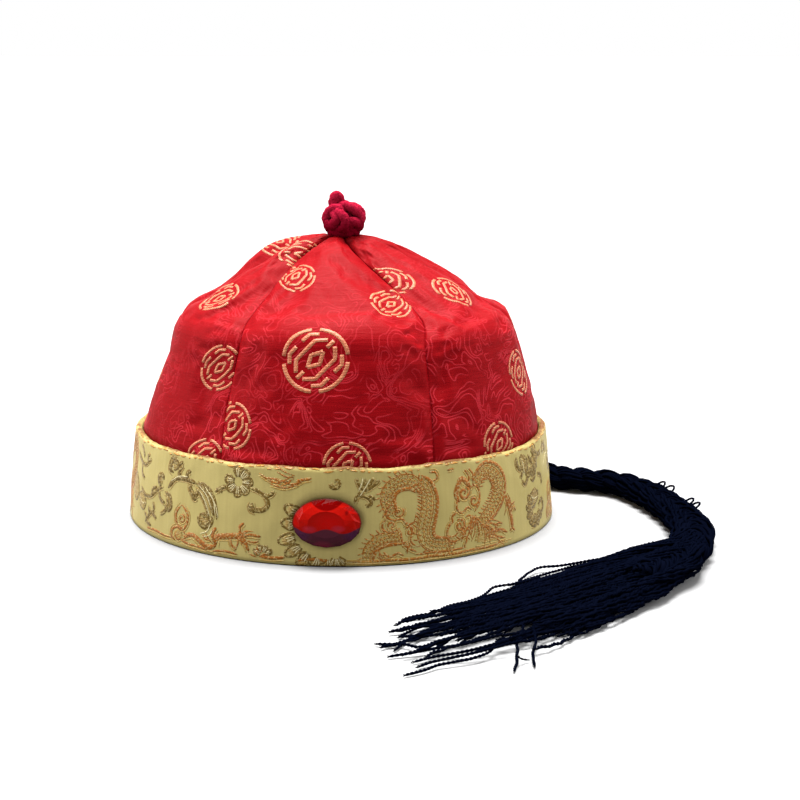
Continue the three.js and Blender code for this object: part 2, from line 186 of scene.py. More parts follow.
def directions(course):
    way = np.gradient(course, axis=0)
    return way / np.maximum(np.linalg.norm(way, axis=1), 1e-12)[:, None]


def unit(vectors):
    return vectors / np.maximum(np.linalg.norm(vectors, axis=-1), 1e-12)[..., None]


def sides_of(course):
    """The way of a course, its right-hand side on the level, and the upright to both."""
    way = directions(course)
    side = unit(np.cross(way, [0, 0, 1]))
    return way, side, np.cross(side, way)


def past(a, b, c, d, w):
    """Twice the way gone from b at the share w of the smooth step from b to c, with a before and d after."""
    return (c - a) * w + (2 * a - 5 * b + 4 * c - d) * w ** 2 + (3 * b - a - 3 * c + d) * w ** 3


# Mesh building

def quads(a, b, c, d):
    return np.stack([a, b, c, d], -1).reshape(-1, 4)


class Body:
    """Gathers closed shapes into one mesh, with the flat cloth's place kept at each point."""

    def __init__(self):
        self.points, self.faces, self.flat, self.count = [], [], [], 0

    def add(self, points, faces, flat=None):
        self.points.append(points)
        self.faces.append(faces + self.count)
        self.flat.append(np.zeros((len(points), 3)) if flat is None else flat)
        self.count += len(points)

    def tube(self, rings, flat=None):
        """A closed tube through rings of points, capped at both ends."""
        steps, sides = rings.shape[:2]
        points = rings.reshape(-1, 3)
        i = np.arange(steps - 1)[:, None] * sides
        j = np.arange(sides)[None, :]
        k = (j + 1) % sides
        walls = quads(i + j, i + k, i + sides + k, i + sides + j)
        tips = np.stack([rings[0].mean(0), rings[-1].mean(0)])
        points = np.vstack([points, tips])
        foot, head, last = steps * sides, steps * sides + 1, (steps - 1) * sides
        caps = [[foot, (s + 1) % sides, s, s] for s in range(sides)]
        caps += [[head, last + s, last + (s + 1) % sides, last + (s + 1) % sides] for s in range(sides)]
        if flat is not None:
            flat = np.vstack([flat.reshape(-1, 3), flat[0].mean(0), flat[-1].mean(0)])
        self.add(points, np.vstack([walls, np.array(caps)]), flat)

    def piece(self, name, material, slot, node=None):
        faces = np.vstack(self.faces)
        corners = [list(dict.fromkeys(face)) for face in faces.tolist()]
        mesh = bpy.data.meshes.new(name)
        mesh.from_pydata(np.vstack(self.points).tolist(), [], corners)
        mesh.attributes.new("cloth", "FLOAT_VECTOR", "POINT")
        mesh.attributes["cloth"].data.foreach_set("vector", np.vstack(self.flat).astype(np.float32).ravel())
        mesh.polygons.foreach_set("use_smooth", [True] * len(mesh.polygons))
        mesh.materials.append(material)
        mesh.update()
        obj = bpy.data.objects.new(name, mesh)
        bpy.context.scene.collection.objects.link(obj)
        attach(obj, "root")
        if node:
            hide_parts(node)
        return obj


def round_rings(course, radii, sides, flatten=1.0, twist=0.0):
    """Rings of a tube that lies along the table: flatten is its height over its width, twist turns it."""
    side, rise = sides_of(course)[1:]
    run = lengths_along(course)
    turn = np.linspace(0, TURN, sides, endpoint=False)[None, :]
    spin = (run * twist)[:, None]
    wide = np.cos(turn) * radii[:, None]
    tall = np.sin(turn) * radii[:, None] * flatten
    x = wide * np.cos(spin) - tall * np.sin(spin)
    y = wide * np.sin(spin) + tall * np.cos(spin)
    return course[:, None] + side[:, None] * x[..., None] + rise[:, None] * y[..., None]


def refine(grid, factor):
    """A grid of places with each step split in factor parts, smoothly."""
    for axis in (0, 1):
        moved = np.moveaxis(grid, axis, 0)
        count = moved.shape[0]
        padded = np.concatenate([[2 * moved[0] - moved[1]], moved, [2 * moved[-1] - moved[-2]]])
        marks = np.linspace(0, count - 1, (count - 1) * factor + 1)
        i = np.minimum(marks.astype(int), count - 2)
        w = (marks - i)[:, None, None]
        step = past(padded[i], padded[i + 1], padded[i + 2], padded[i + 3], w)
        grid = np.moveaxis(padded[i + 1] + 0.5 * step, 0, axis)
    return grid


def grid_normals(places, closed=False):
    """Outward normals of a grid whose columns run towards +X at the front and whose rows rise."""
    across = np.gradient(places, axis=1)
    if closed:
        across[:, 0] = across[:, -1] = places[:, 1] - places[:, -2]
    return unit(np.cross(across, np.gradient(places, axis=0)))


class Cloth:
    """A sewn cloth: a grid of places and normals, which takes flat places in metres. x runs across from
    its middle line and y up from its foot."""

    def __init__(self, places, widths, closed=False):
        self.places, self.widths, self.closed = places, widths, closed
        self.normals = grid_normals(places, closed)
        self.rises = lengths_along(places[:, places.shape[1] // 2])

    def shares(self, x, y):
        rows, columns = self.places.shape[:2]
        row = np.interp(y, self.rises, np.arange(rows))
        across = 0.5 + x / np.interp(y, self.rises, self.widths)
        across = across % 1.0 if self.closed else np.clip(across, 0, 1)
        return row, across * (columns - 1)

    def inside(self, x, y):
        across = 0.5 + x / np.interp(y, self.rises, self.widths)
        return self.closed | ((across > 0) & (across < 1))

    def at(self, x, y, lift=0.0):
        row, column = self.shares(x, y)
        rows, columns = self.places.shape[:2]
        i = np.minimum(row.astype(int), rows - 2)
        j = np.minimum(column.astype(int), columns - 2)
        u, v = (row - i)[:, None], (column - j)[:, None]

        def mix(grid):
            low = grid[i, j] * (1 - v) + grid[i, j + 1] * v
            high = grid[i + 1, j] * (1 - v) + grid[i + 1, j + 1] * v
            return low * (1 - u) + high * u

        return mix(self.places) + unit(mix(self.normals)) * lift

    def flat_places(self):
        """The flat place of each grid point."""
        rows, columns = self.places.shape[:2]
        across = np.linspace(-0.5, 0.5, columns)[None, :] * self.widths[:, None]
        up = np.repeat(self.rises[:, None], columns, 1)
        return np.stack([across, up, np.zeros_like(up)], -1)


def solid_sheet(body, outer, inner, flat):
    """A closed wall between two grids."""
    rows, columns = outer.shape[:2]
    points = np.vstack([outer.reshape(-1, 3), inner.reshape(-1, 3)])
    index = np.arange(rows * columns).reshape(rows, columns)
    back = index + rows * columns
    faces = [
        quads(index[:-1, :-1], index[:-1, 1:], index[1:, 1:], index[1:, :-1]),
        quads(back[:-1, :-1], back[1:, :-1], back[1:, 1:], back[:-1, 1:]),
        quads(index[:-1, 0], index[1:, 0], back[1:, 0], back[:-1, 0]),
        quads(index[:-1, -1], back[:-1, -1], back[1:, -1], index[1:, -1]),
        quads(index[0, :-1], back[0, :-1], back[0, 1:], index[0, 1:]),
        quads(index[-1, :-1], index[-1, 1:], back[-1, 1:], back[-1, :-1]),
    ]
    body.add(points, np.vstack(faces), np.vstack([flat.reshape(-1, 3)] * 2))


def stroke(body, cloth, course, width, rise, step=0.0009, taper=0.0):
    """A woven stroke: a thin closed strip that follows the cloth along a flat course in metres and stands
    out by rise. taper is the share of its length over which it narrows at each end."""
    course = resample(np.asarray(course, float), step)
    side = right_of(course)[1]
    run = lengths_along(course)
    run = run / max(run[-1], 1e-9)
    half = np.full(len(course), width / 2)
    if taper:
        half = half * np.clip(np.minimum(run, 1 - run) / taper, 0.15, 1) ** 0.7
    keep = cloth.inside(course[:, 0], course[:, 1])
    for start, end in runs_of(keep):
        if end - start < 2:
            continue
        c, s, h = course[start:end], side[start:end], half[start:end, None]
        rings, flat = [], []
        for across, lift in ((-1, -0.0003), (1, -0.0003), (0.8, rise), (-0.8, rise)):
            spot = c + s * h * across
            rings.append(cloth.at(spot[:, 0], spot[:, 1], lift))
            flat.append(np.column_stack([spot, np.zeros(len(spot))]))
        body.tube(np.stack(rings, 1)[:, ::-1], np.stack(flat, 1)[:, ::-1])


def runs_of(keep):
    """First and past-the-last index of each stretch that is kept."""
    edges = np.flatnonzero(np.diff(np.concatenate([[0], np.asarray(keep, int), [0]])))
    return list(zip(edges[::2], edges[1::2]))


# Finishes

WAVES_AT_SCALE_1 = 3.183  # bands in a metre of the wave texture at scale 1
CREAM_BETWEEN = (0.230, 0.180, 0.068)


class Finish:
    """A material's node tree, with short calls for the nodes that the finishes share."""

    def __init__(self, name, roughness, specular):
        self.material = bpy.data.materials.new(name)
        self.material.use_nodes = True
        self.tree = self.material.node_tree
        self.shader = self.tree.nodes["Principled BSDF"]
        self.set("Roughness", roughness)
        self.set("Specular IOR Level", specular)

    def set(self, socket, value):
        self.shader.inputs[socket].default_value = value

    def feed(self, socket, source):
        self.tree.links.new(source, self.shader.inputs[socket])

    def node(self, kind, inputs=(), **settings):
        made = self.tree.nodes.new(kind)
        for key, value in settings.items():
            setattr(made, key, value)
        for key, value in dict(inputs).items():
            if isinstance(value, bpy.types.NodeSocket):
                self.tree.links.new(value, made.inputs[key])
            else:
                made.inputs[key].default_value = value
        return made

    def cloth(self):
        return self.node("ShaderNodeAttribute", attribute_name="cloth").outputs["Vector"]

    def place(self):
        return self.node("ShaderNodeTexCoord").outputs["Object"]

    def split(self, vector):
        return self.node("ShaderNodeSeparateXYZ", {"Vector": vector}).outputs

    def shifted(self, vector, shift):
        return self.node("ShaderNodeMapping", {"Vector": vector, "Location": shift}).outputs["Vector"]

    def noise(self, vector, scale, detail=2.0, distortion=0.0, roughness=0.5):
        made = self.node("ShaderNodeTexNoise", {"Vector": vector, "Scale": scale, "Detail": detail,
                                                "Distortion": distortion, "Roughness": roughness})
        return made.outputs["Fac"]

    def scaled(self, vector, scale):
        return self.node("ShaderNodeMapping", {"Vector": vector, "Scale": scale}).outputs["Vector"]

    def math(self, operation, a, b=0.0, c=0.0):
        return self.node("ShaderNodeMath", {0: a, 1: b, 2: c}, operation=operation).outputs[0]

    def ramp(self, factor, *stops):
        """A value that goes from one stop to the other; a stop is a position and its value."""
        made = self.node("ShaderNodeValToRGB", {"Fac": factor})
        for element, (position, value) in zip(made.color_ramp.elements, stops):
            element.position = position
            element.color = (value, value, value, 1)
        return made.outputs["Color"]

    def mix(self, factor, a, b):
        made = self.node("ShaderNodeMix", data_type="RGBA")
        for index, value in ((0, factor), (6, a), (7, b)):
            if isinstance(value, bpy.types.NodeSocket):
                self.tree.links.new(value, made.inputs[index])
            else:
                made.inputs[index].default_value = value if index == 0 else (*value, 1)
        return made.outputs[2]

    def bump(self, height, distance, strength, under=None):
        inputs = {"Height": height, "Distance": distance, "Strength": strength}
        if under is not None:
            inputs["Normal"] = under
        return self.node("ShaderNodeBump", inputs).outputs["Normal"]

    def contours(self, vector, scale, levels, width):
        """Even thin lines along the level curves of a slow noise: 1 on a line, 0 off it. The field's
        slope, taken from three samples side by side, keeps all lines equally wide."""
        step = 0.0004
        here, right, up = (
            self.noise(self.shifted(vector, shift), scale, detail=1.0, distortion=1.5)
            for shift in ((0, 0, 0), (step, 0, 0), (0, step, 0)))
        across = self.math("SUBTRACT", right, here)
        along = self.math("SUBTRACT", up, here)
        slope = self.math("SQRT", self.math("ADD", self.math("MULTIPLY", across, across),
                                            self.math("MULTIPLY", along, along)))
        off = self.math("SUBTRACT", 1.0, self.math("PINGPONG", self.math("MULTIPLY", here, levels), 1.0))
        reach = self.math("MULTIPLY_ADD", slope, levels * width / step, 0.004)
        return self.ramp(self.math("DIVIDE", off, reach), (0.55, 1.0), (1.0, 0.0))

    def threads(self, vector, pitch, axis):
        """Fine parallel threads: lines along the other axis, pitch apart."""
        made = self.node("ShaderNodeTexWave", {"Vector": vector, "Scale": 1 / pitch / WAVES_AT_SCALE_1},
                         wave_type="BANDS", bands_direction=axis, wave_profile="SIN")
        return made.outputs["Fac"]


def red_brocade():
    finish = Finish("red brocade", 0.48, specular=0.012)
    cloth = finish.cloth()
    figure = finish.contours(cloth, scale=60, levels=20.0, width=0.00036)
    broken = finish.ramp(finish.noise(cloth, 105, detail=1.0), (0.36, 0.0), (0.50, 1.0))
    patches = finish.ramp(finish.noise(cloth, 26, detail=1.0), (0.36, 0.35), (0.5, 1.0))
    figure = finish.math("MULTIPLY", figure, finish.math("MULTIPLY", broken, patches))
    # Painted light: the damask figure is painted fainter towards the crown's top, standing in for the bright
    # overhead light washing it out.
    height = finish.split(finish.place())["Z"]
    top_light_washout = finish.ramp(finish.math("MULTIPLY", height, 8.0), (0.66, 1.0), (0.84, 0.22))
    figure = finish.math("MULTIPLY", figure, top_light_washout)
    tone = finish.noise(cloth, 14, detail=3.0)
    ground = finish.mix(tone, (0.102, 0.0009, 0.0018), (0.136, 0.0015, 0.0028))
    finish.feed("Base Color", finish.mix(figure, ground, (0.205, 0.0090, 0.0135)))
    weft = finish.threads(cloth, 0.00042, "Y")
    crinkle = finish.noise(finish.scaled(cloth, (60, 420, 1)), 1.0, detail=4.0, roughness=0.6)
    normal = finish.bump(crinkle, 0.0006, 0.5)
    normal = finish.bump(weft, 0.00004, 0.5, normal)
    finish.feed("Normal", finish.bump(figure, 0.00010, 0.5, normal))
    return finish.material


def cream_brocade():
    finish = Finish("cream satin", 0.45, specular=0.06)
    cloth = finish.cloth()
    tone = finish.noise(cloth, 16, detail=3.0)
    streak = finish.noise(finish.scaled(cloth, (700, 40, 1)), 1.0, detail=2.0)
    ground = finish.mix(tone, (0.208, 0.165, 0.054), (0.272, 0.226, 0.084))
    ground = finish.mix(finish.ramp(streak, (0.35, 0.0), (0.7, 0.22)), ground, (0.172, 0.132, 0.045))
    # Painted shade: the top of the fold is painted dark brown along a wavy edge, standing in for the shade
    # along the fold.
    height = finish.split(finish.place())["Z"]
    fold_shade_height = finish.math("MULTIPLY_ADD", finish.noise(cloth, 700, detail=1.0), 0.0016, height)
    fold = finish.math("MULTIPLY_ADD", fold_shade_height, 1000, -BAND_HEIGHT * 1000)
    ground = finish.mix(finish.ramp(fold, (0.0, 0.0), (0.9, 1.0)), ground, (0.088, 0.034, 0.009))
    finish.feed("Base Color", ground)
    warp = finish.threads(cloth, 0.00040, "X")
    crinkle = finish.noise(finish.scaled(cloth, (120, 160, 1)), 1.0, detail=3.0)
    normal = finish.bump(crinkle, 0.0003, 0.5)
    finish.feed("Normal", finish.bump(warp, 0.00004, 0.5, normal))
    return finish.material


def woven_thread(name, dark, light, pitch=0.00055, specular=0.1, between=0.75):
    """Pattern threads: short floats laid side by side, pitch apart. Up to the share named by between, the
    cream ground shows in the gaps."""
    finish = Finish(name, 0.38, specular)
    cloth = finish.cloth()
    lines = finish.threads(cloth, pitch, "Y")
    speckle = finish.noise(cloth, 900, detail=1.0)
    shade = finish.mix(finish.ramp(lines, (0.10, 0.0), (0.55, 1.0)), dark, light)
    shade = finish.mix(finish.ramp(speckle, (0.42, 0.0), (0.62, 0.45)), shade, dark)
    gaps = finish.ramp(finish.noise(cloth, 1050, detail=1.5), (0.51, 0.0), (0.62, between))
    finish.feed("Base Color", finish.mix(gaps, shade, CREAM_BETWEEN))
    finish.feed("Normal", finish.bump(lines, 0.00010, 0.6))
    return finish.material


def crimson_cord():
    finish = Finish("crimson cord", 0.9, specular=0.0)
    place = finish.place()
    fuzz = finish.noise(place, 1700, detail=3.0)
    tone = finish.noise(place, 300, detail=2.0)
    colour = finish.mix(tone, (0.070, 0.0006, 0.0040), (0.175, 0.0040, 0.0160))
    colour = finish.mix(finish.ramp(fuzz, (0.4, 0.0), (0.6, 0.6)), colour, (0.26, 0.010, 0.028))
    # Painted shade: below its middle the knot is painted darker towards its underside, standing in for the
    # shade there.
    height = finish.split(place)["Z"]
    depth = finish.math("MULTIPLY_ADD", height, 1 / KNOT_SHADE, -KNOT_MIDDLE / KNOT_SHADE + 0.5)
    above_painted_shade = finish.ramp(depth, (0.0, 0.0), (0.65, 1.0))
    finish.feed("Base Color", finish.mix(above_painted_shade, (0.085, 0.0005, 0.005), colour))
    finish.feed("Normal", finish.bump(fuzz, 0.0005, 0.9))
    return finish.material


def black_yarn():
    finish = Finish("black yarn", 0.95, specular=0.0)
    place = finish.place()
    tone = finish.noise(place, 300, detail=2.0)
    finish.feed("Base Color", finish.mix(tone, (0.0002, 0.0004, 0.0014), (0.0008, 0.0012, 0.0036)))
    finish.feed("Normal", finish.bump(finish.noise(place, 2600, detail=2.0), 0.0002, 0.5))
    return finish.material


def lining_cloth():
    finish = Finish("black lining", 0.85, specular=0.2)
    place = finish.place()
    tone = finish.noise(place, 300)
    finish.feed("Base Color", finish.mix(tone, (0.006, 0.005, 0.008), (0.02, 0.017, 0.022)))
    finish.feed("Normal", finish.bump(finish.noise(place, 1800), 0.0001, 0.6))
    return finish.material


def red_stone():
    """Foil-backed red stone with its reflections painted in: a painted bright red reflection above and a
    painted dark plum reflection below, parted by a wavy line, with a painted shadow round its edge.
    """
    finish = Finish("red cut stone", 0.08, specular=0.012)
    middle = (stone_low + stone_high) / 2
    half = (stone_high - stone_low) / 2
    parts = finish.split(finish.shifted(finish.place(), tuple(-middle)))
    u = finish.math("MULTIPLY", parts["X"], 1 / half.x)
    v = finish.math("MULTIPLY", parts["Z"], 1 / half.z)

    def rises(over, soft=0.02):
        """1 where the value is above zero, 0 below, with a soft step between."""
        return finish.ramp(finish.math("MULTIPLY_ADD", over, 0.5 / soft, 0.5), (0.0, 0.0), (1.0, 1.0))

    def spot(x, y, wide, tall):
        """1 at a place on the face, fading to 0 over an oval round it."""
        across = finish.math("MULTIPLY", finish.math("ADD", u, -x), 1 / wide)
        up = finish.math("MULTIPLY", finish.math("ADD", v, -y), 1 / tall)
        far = finish.math("ADD", finish.math("MULTIPLY", across, across), finish.math("MULTIPLY", up, up))
        return finish.ramp(far, (0.0, 1.0), (1.0, 0.0))

    # Painted reflections: a wavy line parts the face into a painted bright red reflection above and a
    # painted dark plum reflection below.
    wave = finish.math("MULTIPLY_ADD", finish.math("COSINE", finish.math("MULTIPLY", u, 6.0)), 0.09, -0.23)
    above = rises(finish.math("SUBTRACT", v, wave), 0.025)
    # The painted red reflection varies in brightness over the face.
    red = finish.mix(spot(0.12, 0.12, 0.55, 0.45), (0.160, 0.0020, 0.0010), (0.215, 0.0018, 0.0013))
    # Painted pink reflections on either side of the red.
    for x, y in ((-0.48, -0.16), (0.34, -0.12)):
        red = finish.mix(spot(x, y, 0.24, 0.17), red, (0.17, 0.007, 0.012))
    # A small painted dark reflection at the upper right.
    red = finish.mix(spot(0.58, 0.50, 0.07, 0.12), red, (0.07, 0.0008, 0.0008))
    plum = finish.mix(spot(-0.10, -0.95, 0.35, 0.35), (0.034, 0.007, 0.012), (0.075, 0.007, 0.017))
    # Darker painted plum reflections towards both ends.
    for x in (-0.75, 0.75):
        plum = finish.mix(spot(x, -0.45, 0.32, 0.32), plum, (0.030, 0.007, 0.020))
    tone = finish.mix(above, plum, red)
    # A painted dark reflection in a bowl across the top of the face.
    dark_bowl_reflection = finish.math("MULTIPLY_ADD", finish.math("MULTIPLY", u, u), 1.2, 0.60)
    tone = finish.mix(rises(finish.math("SUBTRACT", v, dark_bowl_reflection)), tone, (0.065, 0.0002, 0.0002))
    # Painted shadow: a dark brown ring round the stone's edge, standing in for the shade in the gap where it
    # sits in the band.
    rim = finish.math("ADD", finish.math("MULTIPLY", u, u), finish.math("MULTIPLY", v, v))
    tone = finish.mix(rises(finish.math("ADD", rim, -0.93), 0.05), tone, (0.028, 0.006, 0.004))
    finish.feed("Base Color", tone)
    return finish.material


def pale_floor():
    finish = Finish("pale floor", 0.9, specular=0.1)
    finish.set("Base Color", (0.18, 0.18, 0.18, 1))
    return finish.material


# Camera, light and floor

def make_camera():
    """The photograph's view: low, a little from the right, with a long lens."""
    elevation, turn, distance = math.radians(10.71), math.radians(3.5), 0.8
    level = math.cos(elevation)
    back = Vector((level * math.sin(turn), -level * math.cos(turn), math.sin(elevation)))
    data = bpy.data.cameras.new("camera")
    data.lens = 80.44
    data.sensor_width = 36
    data.shift_x = 0.0736
    data.shift_y = -0.0293
    data.clip_start, data.clip_end = 0.01, 50
    camera = bpy.data.objects.new("camera", data)
    camera.location = Vector((0, AXIS[1], 0.060)) + back * distance
    camera.rotation_euler = (-back).to_track_quat("-Z", "Y").to_euler()
    bpy.context.scene.collection.objects.link(camera)
    bpy.context.scene.camera = camera


def make_sun(name, energy, turns):
    """A soft light; turns are its rotation in degrees from shining straight down."""
    data = bpy.data.lights.new(name, "SUN")
    data.energy = energy
    data.angle = math.radians(42)
    light = bpy.data.objects.new(name, data)
    light.rotation_euler = [math.radians(turn) for turn in turns]
    bpy.context.scene.collection.objects.link(light)


def make_room():
    """A floor under a wide overhead light and two side lights, bright enough for the floor to show white."""
    bpy.ops.mesh.primitive_plane_add(size=40, location=(0, 0, 0))
    floor = bpy.context.object
    floor.name = "floor"
    floor.data.materials.append(pale_floor())
    world = bpy.data.worlds.new("studio")
    world.use_nodes = True
    world.node_tree.nodes["Background"].inputs["Color"].default_value = (1, 1, 1, 1)
    world.node_tree.nodes["Background"].inputs["Strength"].default_value = 1.0
    bpy.context.scene.world = world
    bpy.context.scene.view_settings.view_transform = "Standard"
    make_sun("overhead light", 19.5, (-14, -2, 0))
    make_sun("left light", 4.8, (0, -62, 0))
    make_sun("right light", 3.2, (0, 62, 0))


# Braid

def on_table(points, height):
    return np.array([(x * MM, y * MM + AXIS[1], height) for x, y in points])


def lying(points, height, count):
    """A smooth course over the table through the points, in even steps of a millimetre."""
    return resample(spline(on_table(points, height), np.linspace(0, 1, count)), MM)


def smooth_noise(run, seed, wave):
    """A slow value between about -1 and 1 along a run, for a strand's drift."""
    return np.array([noise.noise(Vector((r / wave, seed * 7.31, seed * 1.7))) for r in run]) * 1.6


STRAND_PITCH = 0.031  # length in which each strand of the plait comes back to its edge
STRAND_SWAY, STRAND_LIFT = 0.0037, 0.0016  # how far a strand goes to the side, and up and down
STRAND_HALF_WIDTH, STRAND_HALF_HEIGHT, STRAND_CORE = 0.0036, 0.0028, 0.0030
PLAIT_STEP = 0.0014
PLAIT_TWIST, TAIL_TWIST = 0.055, 0.06  # length in which the yarns go once round their strand or clump
YARNS_PER_STRAND = 15
YARN_SIDES = 5
LOWEST_YARN = 0.0008  # least height of a yarn's middle over the table
# Radii of the yarns
PLAIT_YARN, LOOP_YARN, TAIL_YARN, LOOSE_YARN, THIN_YARN = 0.00068, 0.00050, 0.00072, 0.00062, 0.0004
YARN_STEP = 0.0008
SHORTEST_YARN = 13  # the thin one among the loose yarns
PLY_PITCH = 0.0034  # length in which two plies twist once round each other
CLUMPS, CLUMP_YARNS = 32, 6  # the tail's clumps, and the yarns in each, of which the first is two-ply
CLUMP_RADIUS, CLUMP_WANDER = 0.0024, 0.0036
LOCK_MIDWAY = 0.45  # share of the tail at which a lock is at its middle place
CRIMP_PITCH, CRIMP = 0.0062, 0.0004
MASS_TWIST = 0.0055
TAIL_HEIGHTS = [(0, 0.0085), (0.12, 0.0100), (0.3, 0.0074), (0.6, 0.0042), (1.0, 0.0012)]  # share, height
LOOSE_END = 0.045  # how far the plait runs on into the tail
TAIL_LEAD = 0.012  # how far the tail's yarns begin before its head, inside the plait


def plait_line():
    """The plait's centreline: its route, and on into the head of the tail."""
    height = BRAID_THICK / 2 + BRAID_LIFT
    tail = lying(TAIL_SPINE, height, 200)
    near = tail[lengths_along(tail) <= LOOSE_END]
    return resample(np.vstack([lying(BRAID_ROUTE, height, 400), near[2:]]), PLAIT_STEP)


# Stray yarn loops on the plait's outer edge: share of its run, how far out, how long
STRAY_LOOPS = [
    (0.600, 0.0094, 0.006), (0.620, 0.0096, 0.007), (0.680, 0.0094, 0.006), (0.700, 0.0097, 0.006),
]
LOOP_ROOT = 0.0062  # from the plait's middle to the loops' feet


def make_plait(yarn):
    """Three strands of many yarns, each strand weaving from edge to edge and over and under."""
    line = plait_line()
    run = lengths_along(line)
    side = sides_of(line)[1]
    swell = 1 + 0.22 * np.clip((run - 0.16) / 0.12, 0, 1)
    body = Body()
    for strand in range(3):
        phase = TURN * (run / STRAND_PITCH + strand / 3) + 0.5 * smooth_noise(run, 3.0, 0.05)
        sway = STRAND_SWAY * swell * np.sin(phase)
        lift = STRAND_LIFT * np.sin(2 * phase)
        centre = line + side * sway[:, None] + np.array([0, 0, 1]) * lift[:, None]
        body.tube(round_rings(centre[::3], STRAND_CORE * swell[::3], 8, 0.72))
        strand_side, rise = sides_of(centre)[1:]
        for n in range(YARNS_PER_STRAND):
            drift = 0.5 * smooth_noise(run, n + 20 * strand, 0.02)
            turn = TURN * n / YARNS_PER_STRAND + run / PLAIT_TWIST * TURN + drift
            ring = 1 + 0.14 * smooth_noise(run, n + 31 * strand + 5, 0.006)
            wide = (np.cos(turn) * (STRAND_HALF_WIDTH * swell * ring))[:, None]
            tall = (np.sin(turn) * (STRAND_HALF_HEIGHT * ring))[:, None]
            course = centre + strand_side * wide + rise * tall
            course[:, 2] = np.maximum(course[:, 2], LOWEST_YARN)
            body.tube(round_rings(course, np.full(len(course), PLAIT_YARN), YARN_SIDES))
    for share, out, reach in STRAY_LOOPS:
        i = int(share * (len(line) - 1))
        first, last = line[i], line[min(len(line) - 1, i + int(reach / PLAIT_STEP))]
        swing = np.linspace(0, math.pi, 9)[:, None]
        loop = (first + last) / 2 + (first - last) * 0.5 * np.cos(swing) - side[i] * LOOP_ROOT
        bulge = np.array([0, 0, 0.0022]) - side[i] * (out - LOOP_ROOT)
        loop = curve(loop + bulge * np.sin(swing) + np.array([0, 0, 0.0024]), YARN_STEP)
        body.tube(round_rings(loop, np.full(len(loop), LOOP_YARN), YARN_SIDES))
    piece = body.piece("plaited_braid", yarn, "black_yarn", "braid")


def two_ply(body, course, radius):
    """A yarn of two plies twisted round each other."""
    side, rise = sides_of(course)[1:]
    turn = lengths_along(course) / PLY_PITCH * TURN
    fade = np.ones(len(course))
    fade[-4:] = (0.9, 0.8, 0.6, 0.35)
    for half in (0, math.pi):
        offset = side * np.cos(turn + half)[:, None] + rise * np.sin(turn + half)[:, None]
        ply = course + offset * radius * 0.52
        ply[:, 2] = np.maximum(ply[:, 2], radius * 0.6)
        body.tube(round_rings(ply, radius * 0.6 * fade, YARN_SIDES))


def make_tail(yarn):
    """Crimped yarns in loose locks, combed out over the table, and single two-ply yarns over and beside
    them."""
    spine = lying(TAIL_SPINE, 0, 200)
    total = lengths_along(spine)[-1]
    route = lying(BRAID_ROUTE, 0, 400)
    spine = np.vstack([route[-int(TAIL_LEAD / MM) - 1:-1], spine])
    places = lengths_along(spine) - TAIL_LEAD
    mass, strands = Body(), Body()
    random.seed(23)
    for clump in range(CLUMPS):
        head, middle, tip, reach = TAIL_LOCKS[clump % len(TAIL_LOCKS)]
        aside = random.uniform(-2.6, 2.6) * MM
        far = clump % 3 == 0
        reach = reach * (random.uniform(0.84, 1.0) if far else random.uniform(0.66, 0.84))
        level = random.uniform(0.15, 0.9)
        for n in range(CLUMP_YARNS):
            single = n == 0
            if single:
                end = reach
            elif far:
                end = reach * random.uniform(0.62, 0.98)
            else:
                end = reach * random.uniform(0.82, 1.02)
            marks = np.arange(-TAIL_LEAD, min(1.0, end) * total, YARN_STEP * (1 if single else 2))
            share = np.maximum(0, marks / total)
            centre = np.stack([np.interp(marks, places, spine[:, k]) for k in range(3)], 1)
            way = directions(centre)
            side = np.stack([-way[:, 1], way[:, 0], np.zeros(len(way))], 1)
            early = np.sin(np.minimum(1, share / LOCK_MIDWAY) * math.pi / 2)
            late = np.maximum(0, (share - LOCK_MIDWAY) / (1 - LOCK_MIDWAY))
            across = (head + (middle - head) * early + (tip - middle) * late) * MM
            gather = np.clip((marks + TAIL_LEAD) / (TAIL_LEAD + 0.02), 0, 1)
            across = across * (0.45 + 0.55 * gather)
            wander = smooth_noise(marks, 50 + clump, 0.036) * CLUMP_WANDER * np.minimum(1, share * 3)
            drift = 0.8 * smooth_noise(marks, n + 8 * clump, 0.03)
            turn = TURN * n / CLUMP_YARNS + marks / TAIL_TWIST * TURN + drift
            thin = CLUMP_RADIUS * (1 - 0.45 * share)
            crimp = np.sin(marks / CRIMP_PITCH * TURN + n * 1.7 + clump) * CRIMP * np.minimum(1, share * 5)
            across = across + (aside + wander) * (0.4 + 0.6 * gather) + np.cos(turn) * thin + crimp
            thick = np.interp(share, *zip(*TAIL_HEIGHTS))
            dome = np.clip(1 - (across / 0.030) ** 2, 0.2, 1)
            height = LOWEST_YARN + thick * dome * level + (1 + np.sin(turn)) * thin * 0.45
            course = centre + side * across[:, None]
            course[:, 2] = height
            if single:
                two_ply(strands, course, TAIL_YARN)
            else:
                radius = np.full(len(course), TAIL_YARN)
                radius[-3:] *= (0.9, 0.75, 0.5)
                mass.tube(round_rings(course, radius, YARN_SIDES, 0.7, TURN / MASS_TWIST))
    for number, places in enumerate(LOOSE_YARNS):
        run = np.linspace(0, 1, len(places))
        height = np.interp(run, [0, 0.35, 1], [4.5, 2.2, 0.9])
        course = curve([(x * MM, y * MM + AXIS[1], h * MM) for (x, y), h in zip(places, height)], YARN_STEP)
        wobble = smooth_noise(lengths_along(course), 300 + number, 0.006) * 0.0005
        course[:, 0] += wobble
        course[:, 1] += wobble * 0.6
        two_ply(strands, course, THIN_YARN if number == SHORTEST_YARN else LOOSE_YARN)
    mass.piece("tail_mass", yarn, "black_yarn", "braid_tail")
    strands.piece("tail_strands", yarn, "black_yarn", "braid_tail")


# Crown

